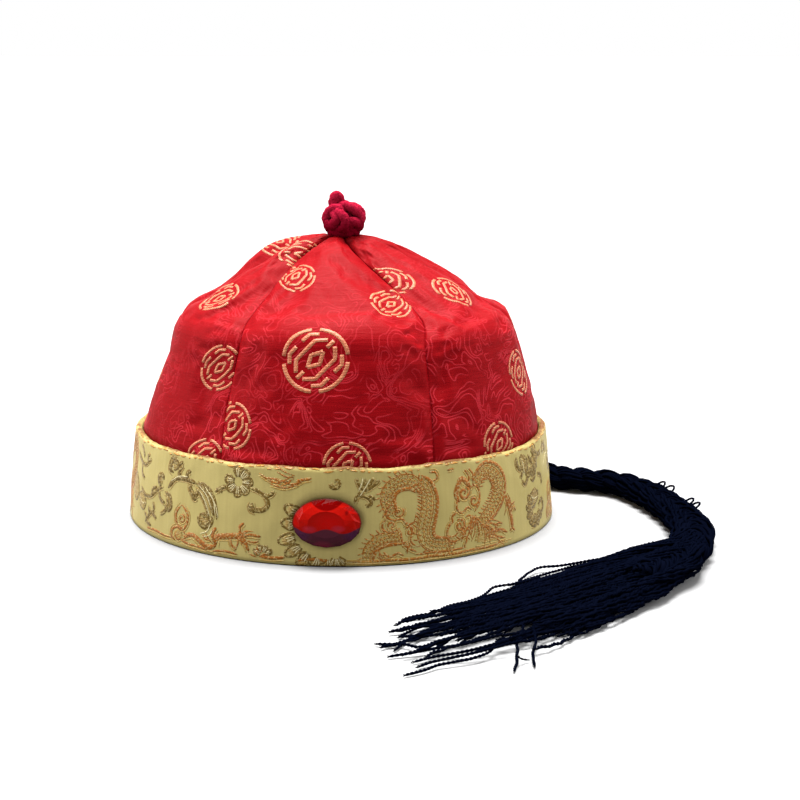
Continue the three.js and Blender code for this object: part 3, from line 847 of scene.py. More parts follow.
def band_radius(share):
    """Radius of the band's outer face, at a share of the way up to its fold."""
    return RIM_RADIUS + (BAND_TOP_RADIUS - RIM_RADIUS) * share


def seam_points():
    """A seam's course from the hem to the knot's stem: radius, height, and puff of the gores beside it."""
    def inner(height):
        return band_radius((height - BAND_FOOT) / (FOLD_FOOT - BAND_FOOT)) - BAND_WALL

    radius = inner(FOLD_FOOT) - GAP
    hem = LINING_HEIGHT + GAP
    middle = (hem + FOLD_FOOT) / 2
    points = [(inner(height) - GAP - SEAM_SINK, height, SEAM_SINK) for height in (hem, middle)]
    points.append((radius - SEAM_SINK, FOLD_FOOT, SEAM_SINK))
    for up, out, puff in SEAM_SECTIONS:
        points.append((out * radius, BAND_HEIGHT + up * CROWN_RISE, puff * GORE_PUFF))
    return points + [(STEM_HOLE, CROWN_HEIGHT, 0.2 * GORE_PUFF)]


def seam_angle(seam, along):
    """A seam's angle about the hat's axis, at shares along it."""
    last = len(seam) - 1
    turns = np.array([2 * seam[0] - seam[1], *seam, 2 * seam[-1] - seam[-2]])
    step = np.minimum((along * last).astype(int), last - 1)
    rise = past(turns[step], turns[step + 1], turns[step + 2], turns[step + 3], along * last - step)
    return np.radians(turns[step + 1] + 0.5 * rise)


def dent_depth(gore, across, along):
    """How far a gore's soft dents press it in, at shares across and along it."""
    depth = np.zeros(np.broadcast(across, along).shape)
    for place, up, wide, tall, share, turn in DENTS[gore]:
        c, s = math.cos(math.radians(turn)), math.sin(math.radians(turn))
        x = (across - place) * c + (along - up) * s
        y = (along - up) * c - (across - place) * s
        depth = depth + share * GORE_PUFF * np.exp(-(x / wide) ** 2 - (y / tall) ** 2)
    return depth


def gore_grid(index):
    """Places of a gore's outer face from hem to point, and the width of each row."""
    along = np.linspace(0, 1, GORE_ROWS + 1)
    across = np.linspace(0, 1, GORE_COLUMNS + 1)[None, :]
    points = seam_points()
    seam = spline(points, along)
    way = spline(points, np.clip(along + 1e-4, 0, 1)) - spline(points, np.clip(along - 1e-4, 0, 1))
    normal = unit(np.stack([way[:, 1], -way[:, 0]], 1))
    start = seam_angle(SEAMS[index], along)
    end = seam_angle(SEAMS[(index + 1) % 6], along) + (TURN if index == 5 else 0)
    fullness = (1 - np.abs(2 * across - 1) ** 3) ** 0.8
    lift = (seam[:, 2:3] - dent_depth(GORES[index], across, along[:, None])) * fullness
    radius = np.maximum(STEM_HOLE, seam[:, 0:1] + normal[:, 0:1] * lift)
    height = seam[:, 1:2] + normal[:, 1:2] * lift
    angle = start[:, None] + (end - start)[:, None] * across
    lean = CROWN_LEAN * np.sin(math.pi * np.clip((height - BAND_HEIGHT) / CROWN_RISE, 0, 1))
    places = np.stack([radius * np.sin(angle) + lean, AXIS[1] - radius * np.cos(angle), height], -1)
    return places, (end - start) * radius[:, GORE_COLUMNS // 2]


GORE_ROWS, GORE_COLUMNS, GORE_FINE = 44, 26, 3
CRINKLE, PUCKER, SOFT_WAVE = 0.00014, 0.0006, 0.0004
PUCKER_REACH = 0.07  # of the gore's width
CLOTH_APART = 0.31  # between the gores' flat places, so that their damask differs
SETTLE_FRAMES = 20
SETTLE_CAP = 0.0009  # furthest that the cloth may move from its pattern


def settle(grids):
    """The gores' cloth after it has swelled and puckered a little, held along its seams and hem."""
    mesh = bpy.data.meshes.new("loose gores")
    points, faces, held = [], [], []
    for places in grids:
        rows, columns = places.shape[:2]
        index = np.arange(rows * columns).reshape(rows, columns) + len(points)
        points += places.reshape(-1, 3).tolist()
        faces += quads(index[:-1, :-1], index[:-1, 1:], index[1:, 1:], index[1:, :-1]).tolist()
        inside = places[..., 2] < BAND_HEIGHT - 0.001
        inside[:, :1] = inside[:, -1:] = inside[-3:, :] = True
        held += index[inside].tolist()
    mesh.from_pydata(points, [], faces)
    loose = bpy.data.objects.new("loose gores", mesh)
    scene = bpy.context.scene
    scene.collection.objects.link(loose)
    loose.vertex_groups.new(name="sewn").add(held, 1.0, "REPLACE")
    cloth = loose.modifiers.new("Cloth", "CLOTH")
    settings = cloth.settings
    settings.vertex_group_mass = "sewn"
    settings.quality = 6
    settings.mass = 0.05
    settings.tension_stiffness = settings.compression_stiffness = 14
    settings.shear_stiffness = 6
    settings.bending_stiffness = 0.04
    settings.shrink_min = -0.012
    settings.use_pressure = True
    settings.uniform_pressure_force = 0.5
    settings.effector_weights.gravity = 0
    cloth.point_cache.frame_start, cloth.point_cache.frame_end = 1, SETTLE_FRAMES
    for step in range(1, SETTLE_FRAMES + 1):
        scene.frame_set(step)
    settled = loose.evaluated_get(bpy.context.evaluated_depsgraph_get()).data
    moved = np.empty(len(points) * 3)
    settled.vertices.foreach_get("co", moved)
    moved = moved.reshape(-1, 3) - np.array(points)
    far = np.linalg.norm(moved, axis=1)
    moved *= (np.minimum(far, SETTLE_CAP) / np.maximum(far, 1e-9))[:, None]
    bpy.data.objects.remove(loose)
    scene.frame_set(1)
    out, start = [], 0
    for places in grids:
        count = places.shape[0] * places.shape[1]
        out.append(places + moved[start:start + count].reshape(places.shape))
        start += count
    return out


def wrinkles(flat, index, height):
    """Fine creases of a gore: level crinkles all over and puckers that run out of the seams."""
    rows, columns = flat.shape[:2]
    out = np.zeros((rows, columns))
    for i in range(rows):
        for j in range(columns):
            x, y = flat[i, j, 0], flat[i, j, 1]
            edge = min(j, columns - 1 - j) / (columns - 1)
            level = noise.noise(Vector((x / 0.030, y / 0.006, index * 5.3)))
            pucker = noise.noise(Vector((x / 0.012, y / 0.0045, index * 9.1 + 40)))
            soft = noise.noise(Vector((x / 0.024, y / 0.024, index * 3.7 + 80)))
            near = math.exp(-edge / PUCKER_REACH)
            out[i, j] = CRINKLE * level + PUCKER * pucker * near + SOFT_WAVE * soft
    fade = np.clip((height - BAND_HEIGHT) / 0.004, 0, 1)
    fade = fade * np.clip((CROWN_HEIGHT + 0.002 - height) / 0.012, 0, 1)
    column = np.arange(columns)
    return out * fade * np.minimum(1, np.minimum(column, columns - 1 - column) / 3)[None, :]


def make_gore(index, places, widths, red, gold):
    fine = refine(places, GORE_FINE)
    widths = np.interp(np.linspace(0, 1, len(fine)), np.linspace(0, 1, len(widths)), widths)
    cloth = Cloth(fine, widths)
    flat = cloth.flat_places()
    fine = fine + cloth.normals * wrinkles(flat, index, fine[..., 2])[..., None]
    cloth = Cloth(fine, widths)
    flat[..., 2] = index * CLOTH_APART
    body = Body()
    solid_sheet(body, fine, fine - cloth.normals * CROWN_WALL, flat)
    name = GORES[index]
    piece = body.piece(f"gore_{name}", red, "red_brocade", f"crown_gore_{name}")
    figures = Body()
    for across, along in ROUNDELS[name]:
        large = (name, across) == LARGE_PLACE
        roundel(figures, cloth, across, along, LARGE_ROUNDEL if large else SMALL_ROUNDEL)
    figures.piece(f"roundels_{name}", gold, "red_brocade")


def make_crown(red, gold):
    grids, widths = zip(*[gore_grid(index) for index in range(6)])
    grids = settle(grids)
    for index in range(6):
        make_gore(index, grids[index], widths[index], red, gold)


# Roundels: across and up the gore as shares, chosen on the front gores and staggered behind
ROUNDELS = {
    "front": [(0.438, 0.430), (0.600, 0.155), (0.050, 0.250), (0.200, 0.745), (0.863, 0.670)],
    "front_right": [(0.025, 0.750), (0.500, 0.670), (0.675, 0.335), (0.375, 0.168)],
    "front_left": [(0.900, 0.380), (0.900, 0.138), (0.188, 0.330), (0.550, 0.640), (0.988, 0.845)],
    "back_right": [(0.30, 0.45), (0.78, 0.30), (0.20, 0.20), (0.62, 0.68)],
    "back": [(0.50, 0.42), (0.12, 0.25), (0.86, 0.24), (0.40, 0.74)],
    "back_left": [(0.25, 0.33), (0.70, 0.48), (0.60, 0.19), (0.38, 0.66), (0.66, 0.81)],
}
LARGE_PLACE = ("front", 0.438)  # gore, and place across it, of the only large roundel
LARGE_ROUNDEL, SMALL_ROUNDEL = 0.0140, 0.0100
ROUNDEL_STROKE = 0.140  # of the radius
WOVEN_RISE = 0.00009  # how far woven lines stand out of their cloth


def arc(radius, start, end):
    turns = np.radians(np.linspace(start, end, max(3, int(abs(end - start) / 6))))
    return [(radius * math.cos(t), radius * math.sin(t)) for t in turns]


# Half of the fret, along its long axis and across it, in shares of the roundel's radius; the other half is
# the same turned half round
FRET = [
    arc(0.94, -38, 38), arc(0.94, 52, 128),
    [(0.32, 0.00), (0.00, 0.18), (-0.32, 0.00)],
    [(-0.66, 0.14), (-0.40, 0.40), (0.40, 0.40), (0.66, 0.14)],
    [(-0.62, 0.46), (-0.42, 0.66), (-0.12, 0.66)], [(0.12, 0.66), (0.42, 0.66), (0.62, 0.46)],
    [(0.48, 0.00), (0.76, 0.00)],
]
FRET_LEAN = math.radians(48)  # of its long axis, up from the weft


def roundel(body, cloth, across, along, radius):
    """A fret roundel woven into a gore, cut off where it meets a seam."""
    rows = len(cloth.rises)
    y = np.interp(along * (rows - 1), np.arange(rows), cloth.rises)
    x = (across - 0.5) * np.interp(y, cloth.rises, cloth.widths)
    c, s = math.cos(FRET_LEAN), math.sin(FRET_LEAN)
    axes = np.array([(c, s), (-s, c)])
    for line in FRET:
        for turn in (1, -1):
            course = np.array([x, y]) + turn * radius * np.array(line) @ axes
            stroke(body, cloth, course, radius * ROUNDEL_STROKE, WOVEN_RISE)


# Band

BAND_ROWS, BAND_COLUMNS = 26, 720
BAND_BULGE = 0.0004
TOP_WAVE, TOP_RIPPLE = 0.0009, 0.0005
PAD_WAVE, PAD_RIPPLE = 0.0008, 0.00028
STONE_SEAT = 0.0016  # how far the band is pressed in under the stone


def band_profile():
    """Outer face from the foot up and over the fold: radius, height, and the fold's far side behind."""
    outer = []
    for share in np.linspace(0, 1, BAND_ROWS):
        height = BAND_LIP + (FOLD_FOOT - BAND_LIP) * share
        outer.append((band_radius(share) + BAND_BULGE * math.sin(math.pi * share), height))
    for turn in np.linspace(0, math.pi, 9)[1:]:
        outer.append((BAND_TOP_RADIUS - BAND_WALL / 2 + BAND_WALL / 2 * math.cos(turn),
                      FOLD_FOOT + FOLD_RISE * math.sin(turn)))
    return np.array(outer)


def make_band(cream):
    profile = band_profile()
    angle = np.linspace(-math.pi, math.pi, BAND_COLUMNS + 1)
    rows = len(profile)
    radius = np.repeat(profile[:, 0:1], BAND_COLUMNS + 1, 1)
    height = np.repeat(profile[:, 1:2], BAND_COLUMNS + 1, 1)
    stone_mid = (stone_low.z + stone_high.z) / 2
    half_wide, half_tall = (stone_high.x - stone_low.x) / 2, (stone_high.z - stone_low.z) / 2
    for j, turn in enumerate(angle):
        around = Vector((math.cos(turn), math.sin(turn), 0))
        top_wave = noise.noise(around * 5.5) * TOP_WAVE + noise.noise(around * 17) * TOP_RIPPLE
        for i in range(rows):
            share = (height[i, j] - BAND_FOOT) / (BAND_HEIGHT - BAND_FOOT)
            spot = Vector((around.x * 4.2, around.y * 4.2, share * 1.1))
            fine = Vector((around.x * 15, around.y * 15, share * 4.5))
            body_wave = noise.noise(spot) * PAD_WAVE + noise.noise(fine) * PAD_RIPPLE
            x, z = turn * RIM_RADIUS, height[i, j] - stone_mid
            reach = math.hypot(x / half_wide, z / half_tall)
            seat = STONE_SEAT / (1 + math.exp((reach - 1.04) * 26)) if reach < 2 else 0
            radius[i, j] += body_wave * min(1, max(0, share) * 4) - (seat if i < BAND_ROWS else 0)
            height[i, j] += top_wave * max(0, share) ** 3
    radius[:, -1], height[:, -1] = radius[:, 0], height[:, 0]
    places = np.stack([radius * np.sin(angle), AXIS[1] - radius * np.cos(angle), height], -1)
    cloth = Cloth(places, np.full(rows, BAND_ROUND), closed=True)
    body = Body()
    ring = np.concatenate([places[:, :-1], inner_band(places[:, :-1])])
    flat = cloth.flat_places()[:, :-1]
    lift = np.arange(len(ring) - rows)[:, None, None] * 0.005
    flat = np.concatenate([flat, np.repeat(flat[-1:], len(ring) - rows, 0) + lift * np.array([0, 1, 0])])
    count, columns = ring.shape[:2]
    i = np.arange(count)[:, None] * columns
    up = ((np.arange(count) + 1) % count)[:, None] * columns
    j = np.arange(columns)[None, :]
    k = (j + 1) % columns
    body.add(ring.reshape(-1, 3), quads(i + j, i + k, up + k, up + j), flat.reshape(-1, 3))
    piece = body.piece("turned_up_band", cream, "cream_brocade", "band")
    return cloth


def inner_band(places):
    """The inner face, from the fold down to the wall's foot, and the lip over the lining's edge."""
    offset = places[0] - AXIS
    level = unit(np.stack([offset[:, 0], offset[:, 1], np.zeros(len(offset))], -1))
    rings = []
    for share in np.linspace(0.94, 0.0, 8):
        height = BAND_FOOT + (FOLD_FOOT - BAND_FOOT) * share
        rings.append((band_radius(share) - BAND_WALL, height))
    rings += [(RIM_RADIUS - LIP_WALL, BAND_FOOT), (RIM_RADIUS - LIP_WALL, BAND_LIP)]
    return np.stack([AXIS + level * radius + np.array([0, 0, height]) for radius, height in rings])


# Woven figures of the band, in millimetres: round from the front's middle, and up from the table

GROUND_RISE, ASIDE_RISE, RAISED, PALE_RISE = 0.00005, 0.00007, 0.00011, 0.00013
HATCH_PITCH = 0.72
SHORTEST_THREAD = 0.6
SPINE_PITCH = 1.7


def coil(x, y, radius, turns, start=0.0):
    """A spiral that opens out from its middle; a negative number of turns winds the other way."""
    marks = np.linspace(0.14, 1, int(11 * abs(turns)) + 2)
    angle = math.radians(start) + (marks - 1) * turns * TURN
    return [(x + radius * m * math.cos(a), y + radius * m * math.sin(a)) for m, a in zip(marks, angle)]


def weave(body, cloth, points, width, shift, rise=WOVEN_RISE, taper=0.12, step=0.0009, aside=0.0):
    """A smooth line of a figure, laid on the band; aside moves it to the right of its own way."""
    course = curve(points, 0.5)
    if aside:
        course = course + right_of(course)[1] * aside
    course = course * MM
    course[:, 0] += shift * MM
    course[:, 1] = np.maximum(course[:, 1] - BAND_LIP, 0.0003)
    stroke(body, cloth, course, width * MM, rise, step, taper)


def fan(turn):
    """The way out of a middle at an angle, and the way square to it."""
    return np.array([math.cos(turn), math.sin(turn)]), np.array([-math.sin(turn), math.cos(turn)])


def right_of(course):
    way = directions(course)
    return way, np.stack([way[:, 1], -way[:, 0]], 1)


def tuft(body, cloth, root, turns, count, reach, shift):
    """Flame lines that fan out of a root, between two angles in degrees."""
    for n in range(count):
        turn = math.radians(turns[0] + (turns[1] - turns[0]) * n / (count - 1))
        long = reach * (0.78 + 0.22 * math.cos(n * 2.4))
        out, side = fan(turn)
        start = np.array(root) + side * (n % 3 - 1) * 0.8
        middle = start + out * long * 0.5 + side * long * 0.10
        weave(body, cloth, [start, middle, start + out * long], 1.0, shift, RAISED, taper=0.6)


def hatch(body, cloth, outline, shift):
    """A filled part of a figure: level threads from edge to edge of an outline."""
    outline = np.asarray(outline, float)
    low, high = outline[:, 1].min(), outline[:, 1].max()
    for level in np.arange(low + HATCH_PITCH / 2, high, HATCH_PITCH):
        a, b = outline, np.roll(outline, -1, 0)
        crossed = (a[:, 1] <= level) != (b[:, 1] <= level)
        spots = sorted(a[crossed, 0] + (b - a)[crossed, 0] * (level - a[crossed, 1]) / (b - a)[crossed, 1])
        for start, end in zip(spots[::2], spots[1::2]):
            if end - start > SHORTEST_THREAD:
                weave(body, cloth, [(start, level), (end, level)], HATCH_PITCH * 0.86, shift, taper=0.0,
                      step=0.0015)


def serpent(orange, gold, cloth, centre, halves, spines, shift):
    """A scaled body: gold ground, outlines, rows of scales, and spines on the side that spines names."""
    middle = curve(centre, 0.45)
    run = lengths_along(middle)
    half = np.interp(run / run[-1], np.linspace(0, 1, len(halves)), halves)
    way, side = right_of(middle)
    side = side * spines

    def edge(share):
        return middle + side * (half * share)[:, None]

    for share in (-0.78, -0.26, 0.26, 0.78):
        weave(gold, cloth, edge(share), float(np.mean(halves)) * 0.34, shift, GROUND_RISE, taper=0.04)
    weave(orange, cloth, edge(1.0), 0.6, shift)
    weave(orange, cloth, edge(-0.92), 1.9, shift)
    weave(orange, cloth, edge(-0.45), 0.45, shift)
    for mark in np.arange(0.8, run[-1] - 0.4, SPINE_PITCH):
        i = int(np.searchsorted(run, mark))
        base = middle[i] + side[i] * half[i]
        tip = base + side[i] * 2.1 - way[i] * 1.2
        weave(orange, cloth, [base, (base + tip) / 2 - way[i] * 0.2, tip], 0.75, shift, taper=0.35)
        for row, offset in ((0.66, 0.0), (0.26, 0.85), (-0.14, 0.0)):
            k = int(np.searchsorted(run, min(mark + offset, run[-1] - 0.2)))
            spot = middle[k] + side[k] * half[k] * row
            reach = half[k] * 0.19
            scale = [spot - side[k] * reach, spot + way[k] * 0.75, spot + side[k] * reach]
            weave(orange, cloth, scale, 0.52, shift, RAISED, taper=0.0, step=0.0006)
        belly = middle[i] - side[i] * half[i] * 0.54
        weave(orange, cloth, [belly, middle[i] - side[i] * half[i] * 0.98], 0.45, shift, taper=0.0)


# Outline of a petal from foot to foot: out as a share of the radius, aside as a share of its width
PETAL_RIM = [(0.72, -1.0), (0.95, -0.72), (1.0, -0.1), (0.94, 0.5), (0.76, 1.0)]


def blossom(olive, light, tan, cloth, x, y, radius, petals, start, end, core, shift):
    """Part of a flower: lobed petals with a tan ground and light threads that fan out of its heart."""
    centre = np.array([x, y])
    for n in range(petals):
        turn = math.radians(start + (end - start) * (n + 0.5) / petals)
        half = math.radians(abs(end - start) / petals) * 0.5
        out, side = fan(turn)
        wide = radius * 0.66 * math.tan(min(half, 0.7))
        rim = [centre + out * radius * a + side * wide * b
               for a, b in ((core, -0.25), *PETAL_RIM, (core, 0.35))]
        for b in (-0.55, 0.0, 0.55):
            foot = centre + out * radius * core + side * wide * b * 0.3
            weave(tan, cloth, [foot, centre + out * radius * 0.92 + side * wide * b], wide * 0.85, shift,
                  GROUND_RISE, taper=0.25)
        weave(olive, cloth, rim, 1.25, shift, taper=0.0)
        for b in (-0.6, -0.3, 0.0, 0.3, 0.6):
            foot = centre + out * radius * core + side * wide * b * 0.4
            weave(light if (n + round(b * 3.3)) % 2 else olive, cloth,
                  [foot, centre + out * radius * 0.84 + side * wide * b], 0.5, shift, RAISED, taper=0.2)


# Scaled parts of the beasts: middle line, half widths along it, and the spines' side, 1 for the right
SERPENTS = [
    ([(27.4, 21), (25.6, 25), (25.2, 29), (27, 32.6), (31, 34.6), (35.6, 34.4), (38.6, 31.6)],
     (2.2, 3.0, 3.2, 3.2, 2.4), -1),
    ([(38.5, 35.6), (42.2, 31.8), (43.4, 26), (42.4, 19.5), (41, 13.5), (42.6, 9), (48, 6.8), (54, 7.5)],
     (2.2, 3.6, 3.8, 3.6, 3.0), 1),
    ([(68, 12), (71.5, 15.5), (76, 19), (79.6, 24), (80.4, 29), (78, 33.4), (73.5, 35.6), (69, 33.6),
      (66.5, 29.5)], (2.6, 3.4, 3.6, 3.2, 2.0), -1),
    ([(16.5, 2.5), (17.6, 7), (21, 10.4), (26, 11.6), (31, 11.4)], (2.2, 3.0, 2.4), -1),
]
# Flame lines of the beasts: root, first and last angle, count, reach
TUFTS = [
    ((64.6, 17.0), (-132, -58), 14, 11.5), ((69.8, 12.6), (-88, -8), 12, 11.0),
    ((58.8, 13.4), (-140, -60), 6, 7.5),
    ((71.5, 7.5), (-30, 12), 5, 12.5), ((33.4, 9.6), (-170, -60), 5, 5.5),
    ((84.0, 23.0), (-95, -60), 4, 9.0),
    ((-49.4, 5.6), (50, 130), 6, 7.0), ((-37.2, 10.6), (-100, 40), 7, 7.0), ((-64, 5.4), (150, 210), 4, 5.5),
    ((-28.6, 3.2), (20, 160), 6, 4.6), ((22.4, 3.0), (25, 155), 5, 4.0),
    ((-14.0, 36.8), (150, 215), 5, 12.0),
]
# Lines of the orange figures: width, then places
ORANGE_LINES = [
    # Clouds about the beast
    (2.2, [(57.4, 23.6), (55.9, 26.6), (57.0, 30.4), (59.2, 33.2), (61.6, 31.6), (63.8, 28.8)]),
    (0.9, [(29, 26), (25, 24.5), (24.4, 21), (27.5, 19), (31, 19.5), (33, 17), (36.4, 18), (36.8, 21)]),
    (0.8, coil(29.5, 22.4, 2.4, 1.5, 40)), (0.8, coil(34.0, 14.0, 2.2, 1.4, 150)),
    (0.8, [(24.5, 20), (22.6, 17), (24, 14.5), (27.5, 14.2), (30, 15.8)]),
    (0.9, coil(26.6, 17.0, 1.7, 1.2, 200)),
    (0.9, [(30, 15), (31, 10), (34, 6.5), (37, 5)]), (0.8, [(33, 18), (35, 14), (34.5, 10), (37, 7.5)]),
    (1.3, coil(60.0, 27.0, 3.0, 1.7, 70)),
    (0.9, [(56.5, 25), (56, 21), (58.5, 19), (61.5, 21), (63.6, 19.6)]),
    (1.0, coil(65.2, 23.2, 2.5, 1.5, 20)), (0.9, [(63, 28), (65.6, 30), (68.2, 27), (67.6, 22), (65, 18.5)]),
    (1.0, coil(57.2, 14.0, 2.7, 1.7, 120)), (1.0, [(54.5, 16.5), (51.5, 14), (51, 10), (53, 7.4), (57, 8)]),
    (0.9, [(56, 19.5), (53.6, 18), (54, 15.5)]), (0.8, [(60, 17), (62.5, 17.5), (63, 15), (61, 12.5)]),
    # Mane, jaw and beard
    (1.4, [(70.5, 12), (75.4, 9.2), (80.6, 8.2), (84, 6)]), (1.1, [(72, 6.5), (77, 5.4), (82.4, 4.2)]),
    (0.8, [(58.6, 12), (60.4, 7.5), (59, 4)]), (0.9, [(76, 9), (78, 11.6), (81, 11)]),
    (0.8, [(54.5, 10.5), (57, 8.4), (60, 9.4), (62, 7)]),
    # Hind leg and claws
    (1.9, [(83.4, 22), (85.6, 17), (87.2, 12), (87.6, 7)]), (0.9, [(85.6, 6.2), (87.4, 7.4), (89.4, 5.6)]),
    (0.9, [(86.6, 15), (89.4, 16.6), (90.4, 14.6)]), (0.9, [(86.8, 17.5), (89.8, 18.8)]),
    # Scroll over the arch
    (0.9, [(44.5, 33.5), (47, 35), (46.6, 37.2), (43.6, 37.4)]), (0.8, [(52, 37.4), (55.5, 37.6)]),
    (0.8, [(61, 36.8), (63.2, 33.6), (62.4, 31)]), (0.8, [(63, 37.4), (65.4, 34.4), (64.6, 31.6)]),
    # Ground under the beast
    (1.0, [(8, 2.2), (16, 2.0), (24, 2.4), (34, 2.0), (44, 2.5), (54, 2.1), (64, 2.5), (74, 2.2),
           (83, 3.4)]),
    (0.8, [(36, 3.8), (44, 4.0), (52, 3.7), (60, 4.1)]),
    (0.9, [(23, 5.8), (25.6, 3.6), (29, 5.0), (31.4, 3.8)]),
    # Wing lines at the top left
    (0.8, [(-27, 36), (-21, 35.5), (-14, 34), (-9, 36.4)]), (0.8, [(-24, 33.6), (-18, 32.4), (-12, 34.0)]),
    (1.2, [(-13, 35.2), (-10, 36.2), (-6.5, 36.8)]), (0.7, [(-29, 37.6), (-24, 34.8), (-19, 33.6)]),
    # Pointed leaf with a coil, and the cloud under it
    (1.2, [(-68.6, 19), (-71.6, 15.5), (-71.4, 11.5), (-68.4, 8.2), (-65.4, 11), (-64.8, 15.4),
           (-68.2, 19)]),
    (0.8, coil(-68.2, 13.2, 2.0, 1.5, 90)),
    (1.3, [(-66.6, 8.4), (-70, 9.4), (-73.4, 8), (-74.6, 4.6), (-72, 2.6)]),
    (0.9, coil(-70.6, 5.0, 2.0, 1.4, 10)),
    # Running flame beast
    (2.2, [(-66, 5.6), (-61.6, 7.2), (-57, 5), (-52, 3.4), (-48.6, 4.4)]),
    (2.6, [(-49, 4), (-48.6, 8.4), (-44, 9.6), (-38.6, 10.6), (-34.6, 11.2)]),
    (1.6, [(-49.6, 7), (-50.4, 10.4), (-48.6, 12.6)]), (1.2, [(-36.6, 11), (-37.2, 14.4), (-35.2, 16.4)]),
    (1.2, [(-36, 11), (-31.6, 11.8), (-27.6, 11.4)]), (1.4, [(-37.8, 10), (-34.6, 7.4), (-32.8, 4.4)]),
    (1.0, [(-41.6, 9), (-40.8, 6), (-38.4, 4.4)]), (0.8, [(-34, 9.4), (-30.6, 8.6), (-28.4, 9.6)]),
    (1.0, [(-68, 3.4), (-63.6, 2.8), (-58, 2.6), (-53, 2.2)]),
    (0.8, [(-55.6, 8.6), (-53.6, 6.4), (-51.6, 6.8)]),
    (1.0, [(-96, 3.0), (-88, 3.6), (-80, 3.2), (-74, 3.6)]), (0.9, [(-50, 2.2), (-44, 3.0), (-38, 2.4)]),
    # Ground beside the flower
    (1.3, [(-28, 2.8), (-23, 2.6), (-17, 3.2)]), (1.2, [(-12, 2.4), (-6, 3.0), (2, 2.4)]),
]
# Outlines of the filled parts
ORANGE_PATCHES = [
    [(-72.6, 6.6), (-70.4, 8.6), (-67.8, 7.6), (-67.4, 4.8), (-70.0, 3.2), (-72.4, 4.4)],
    [(8, 2.8), (30, 3.0), (60, 3.3), (80, 3.8), (87, 2.8), (80, 0.9), (60, 0.9), (30, 0.9), (8, 0.9)],
    [(66.6, 14), (70, 15.4), (76, 9.4), (79, 5), (70, 4.2), (64.4, 5.6)],
]
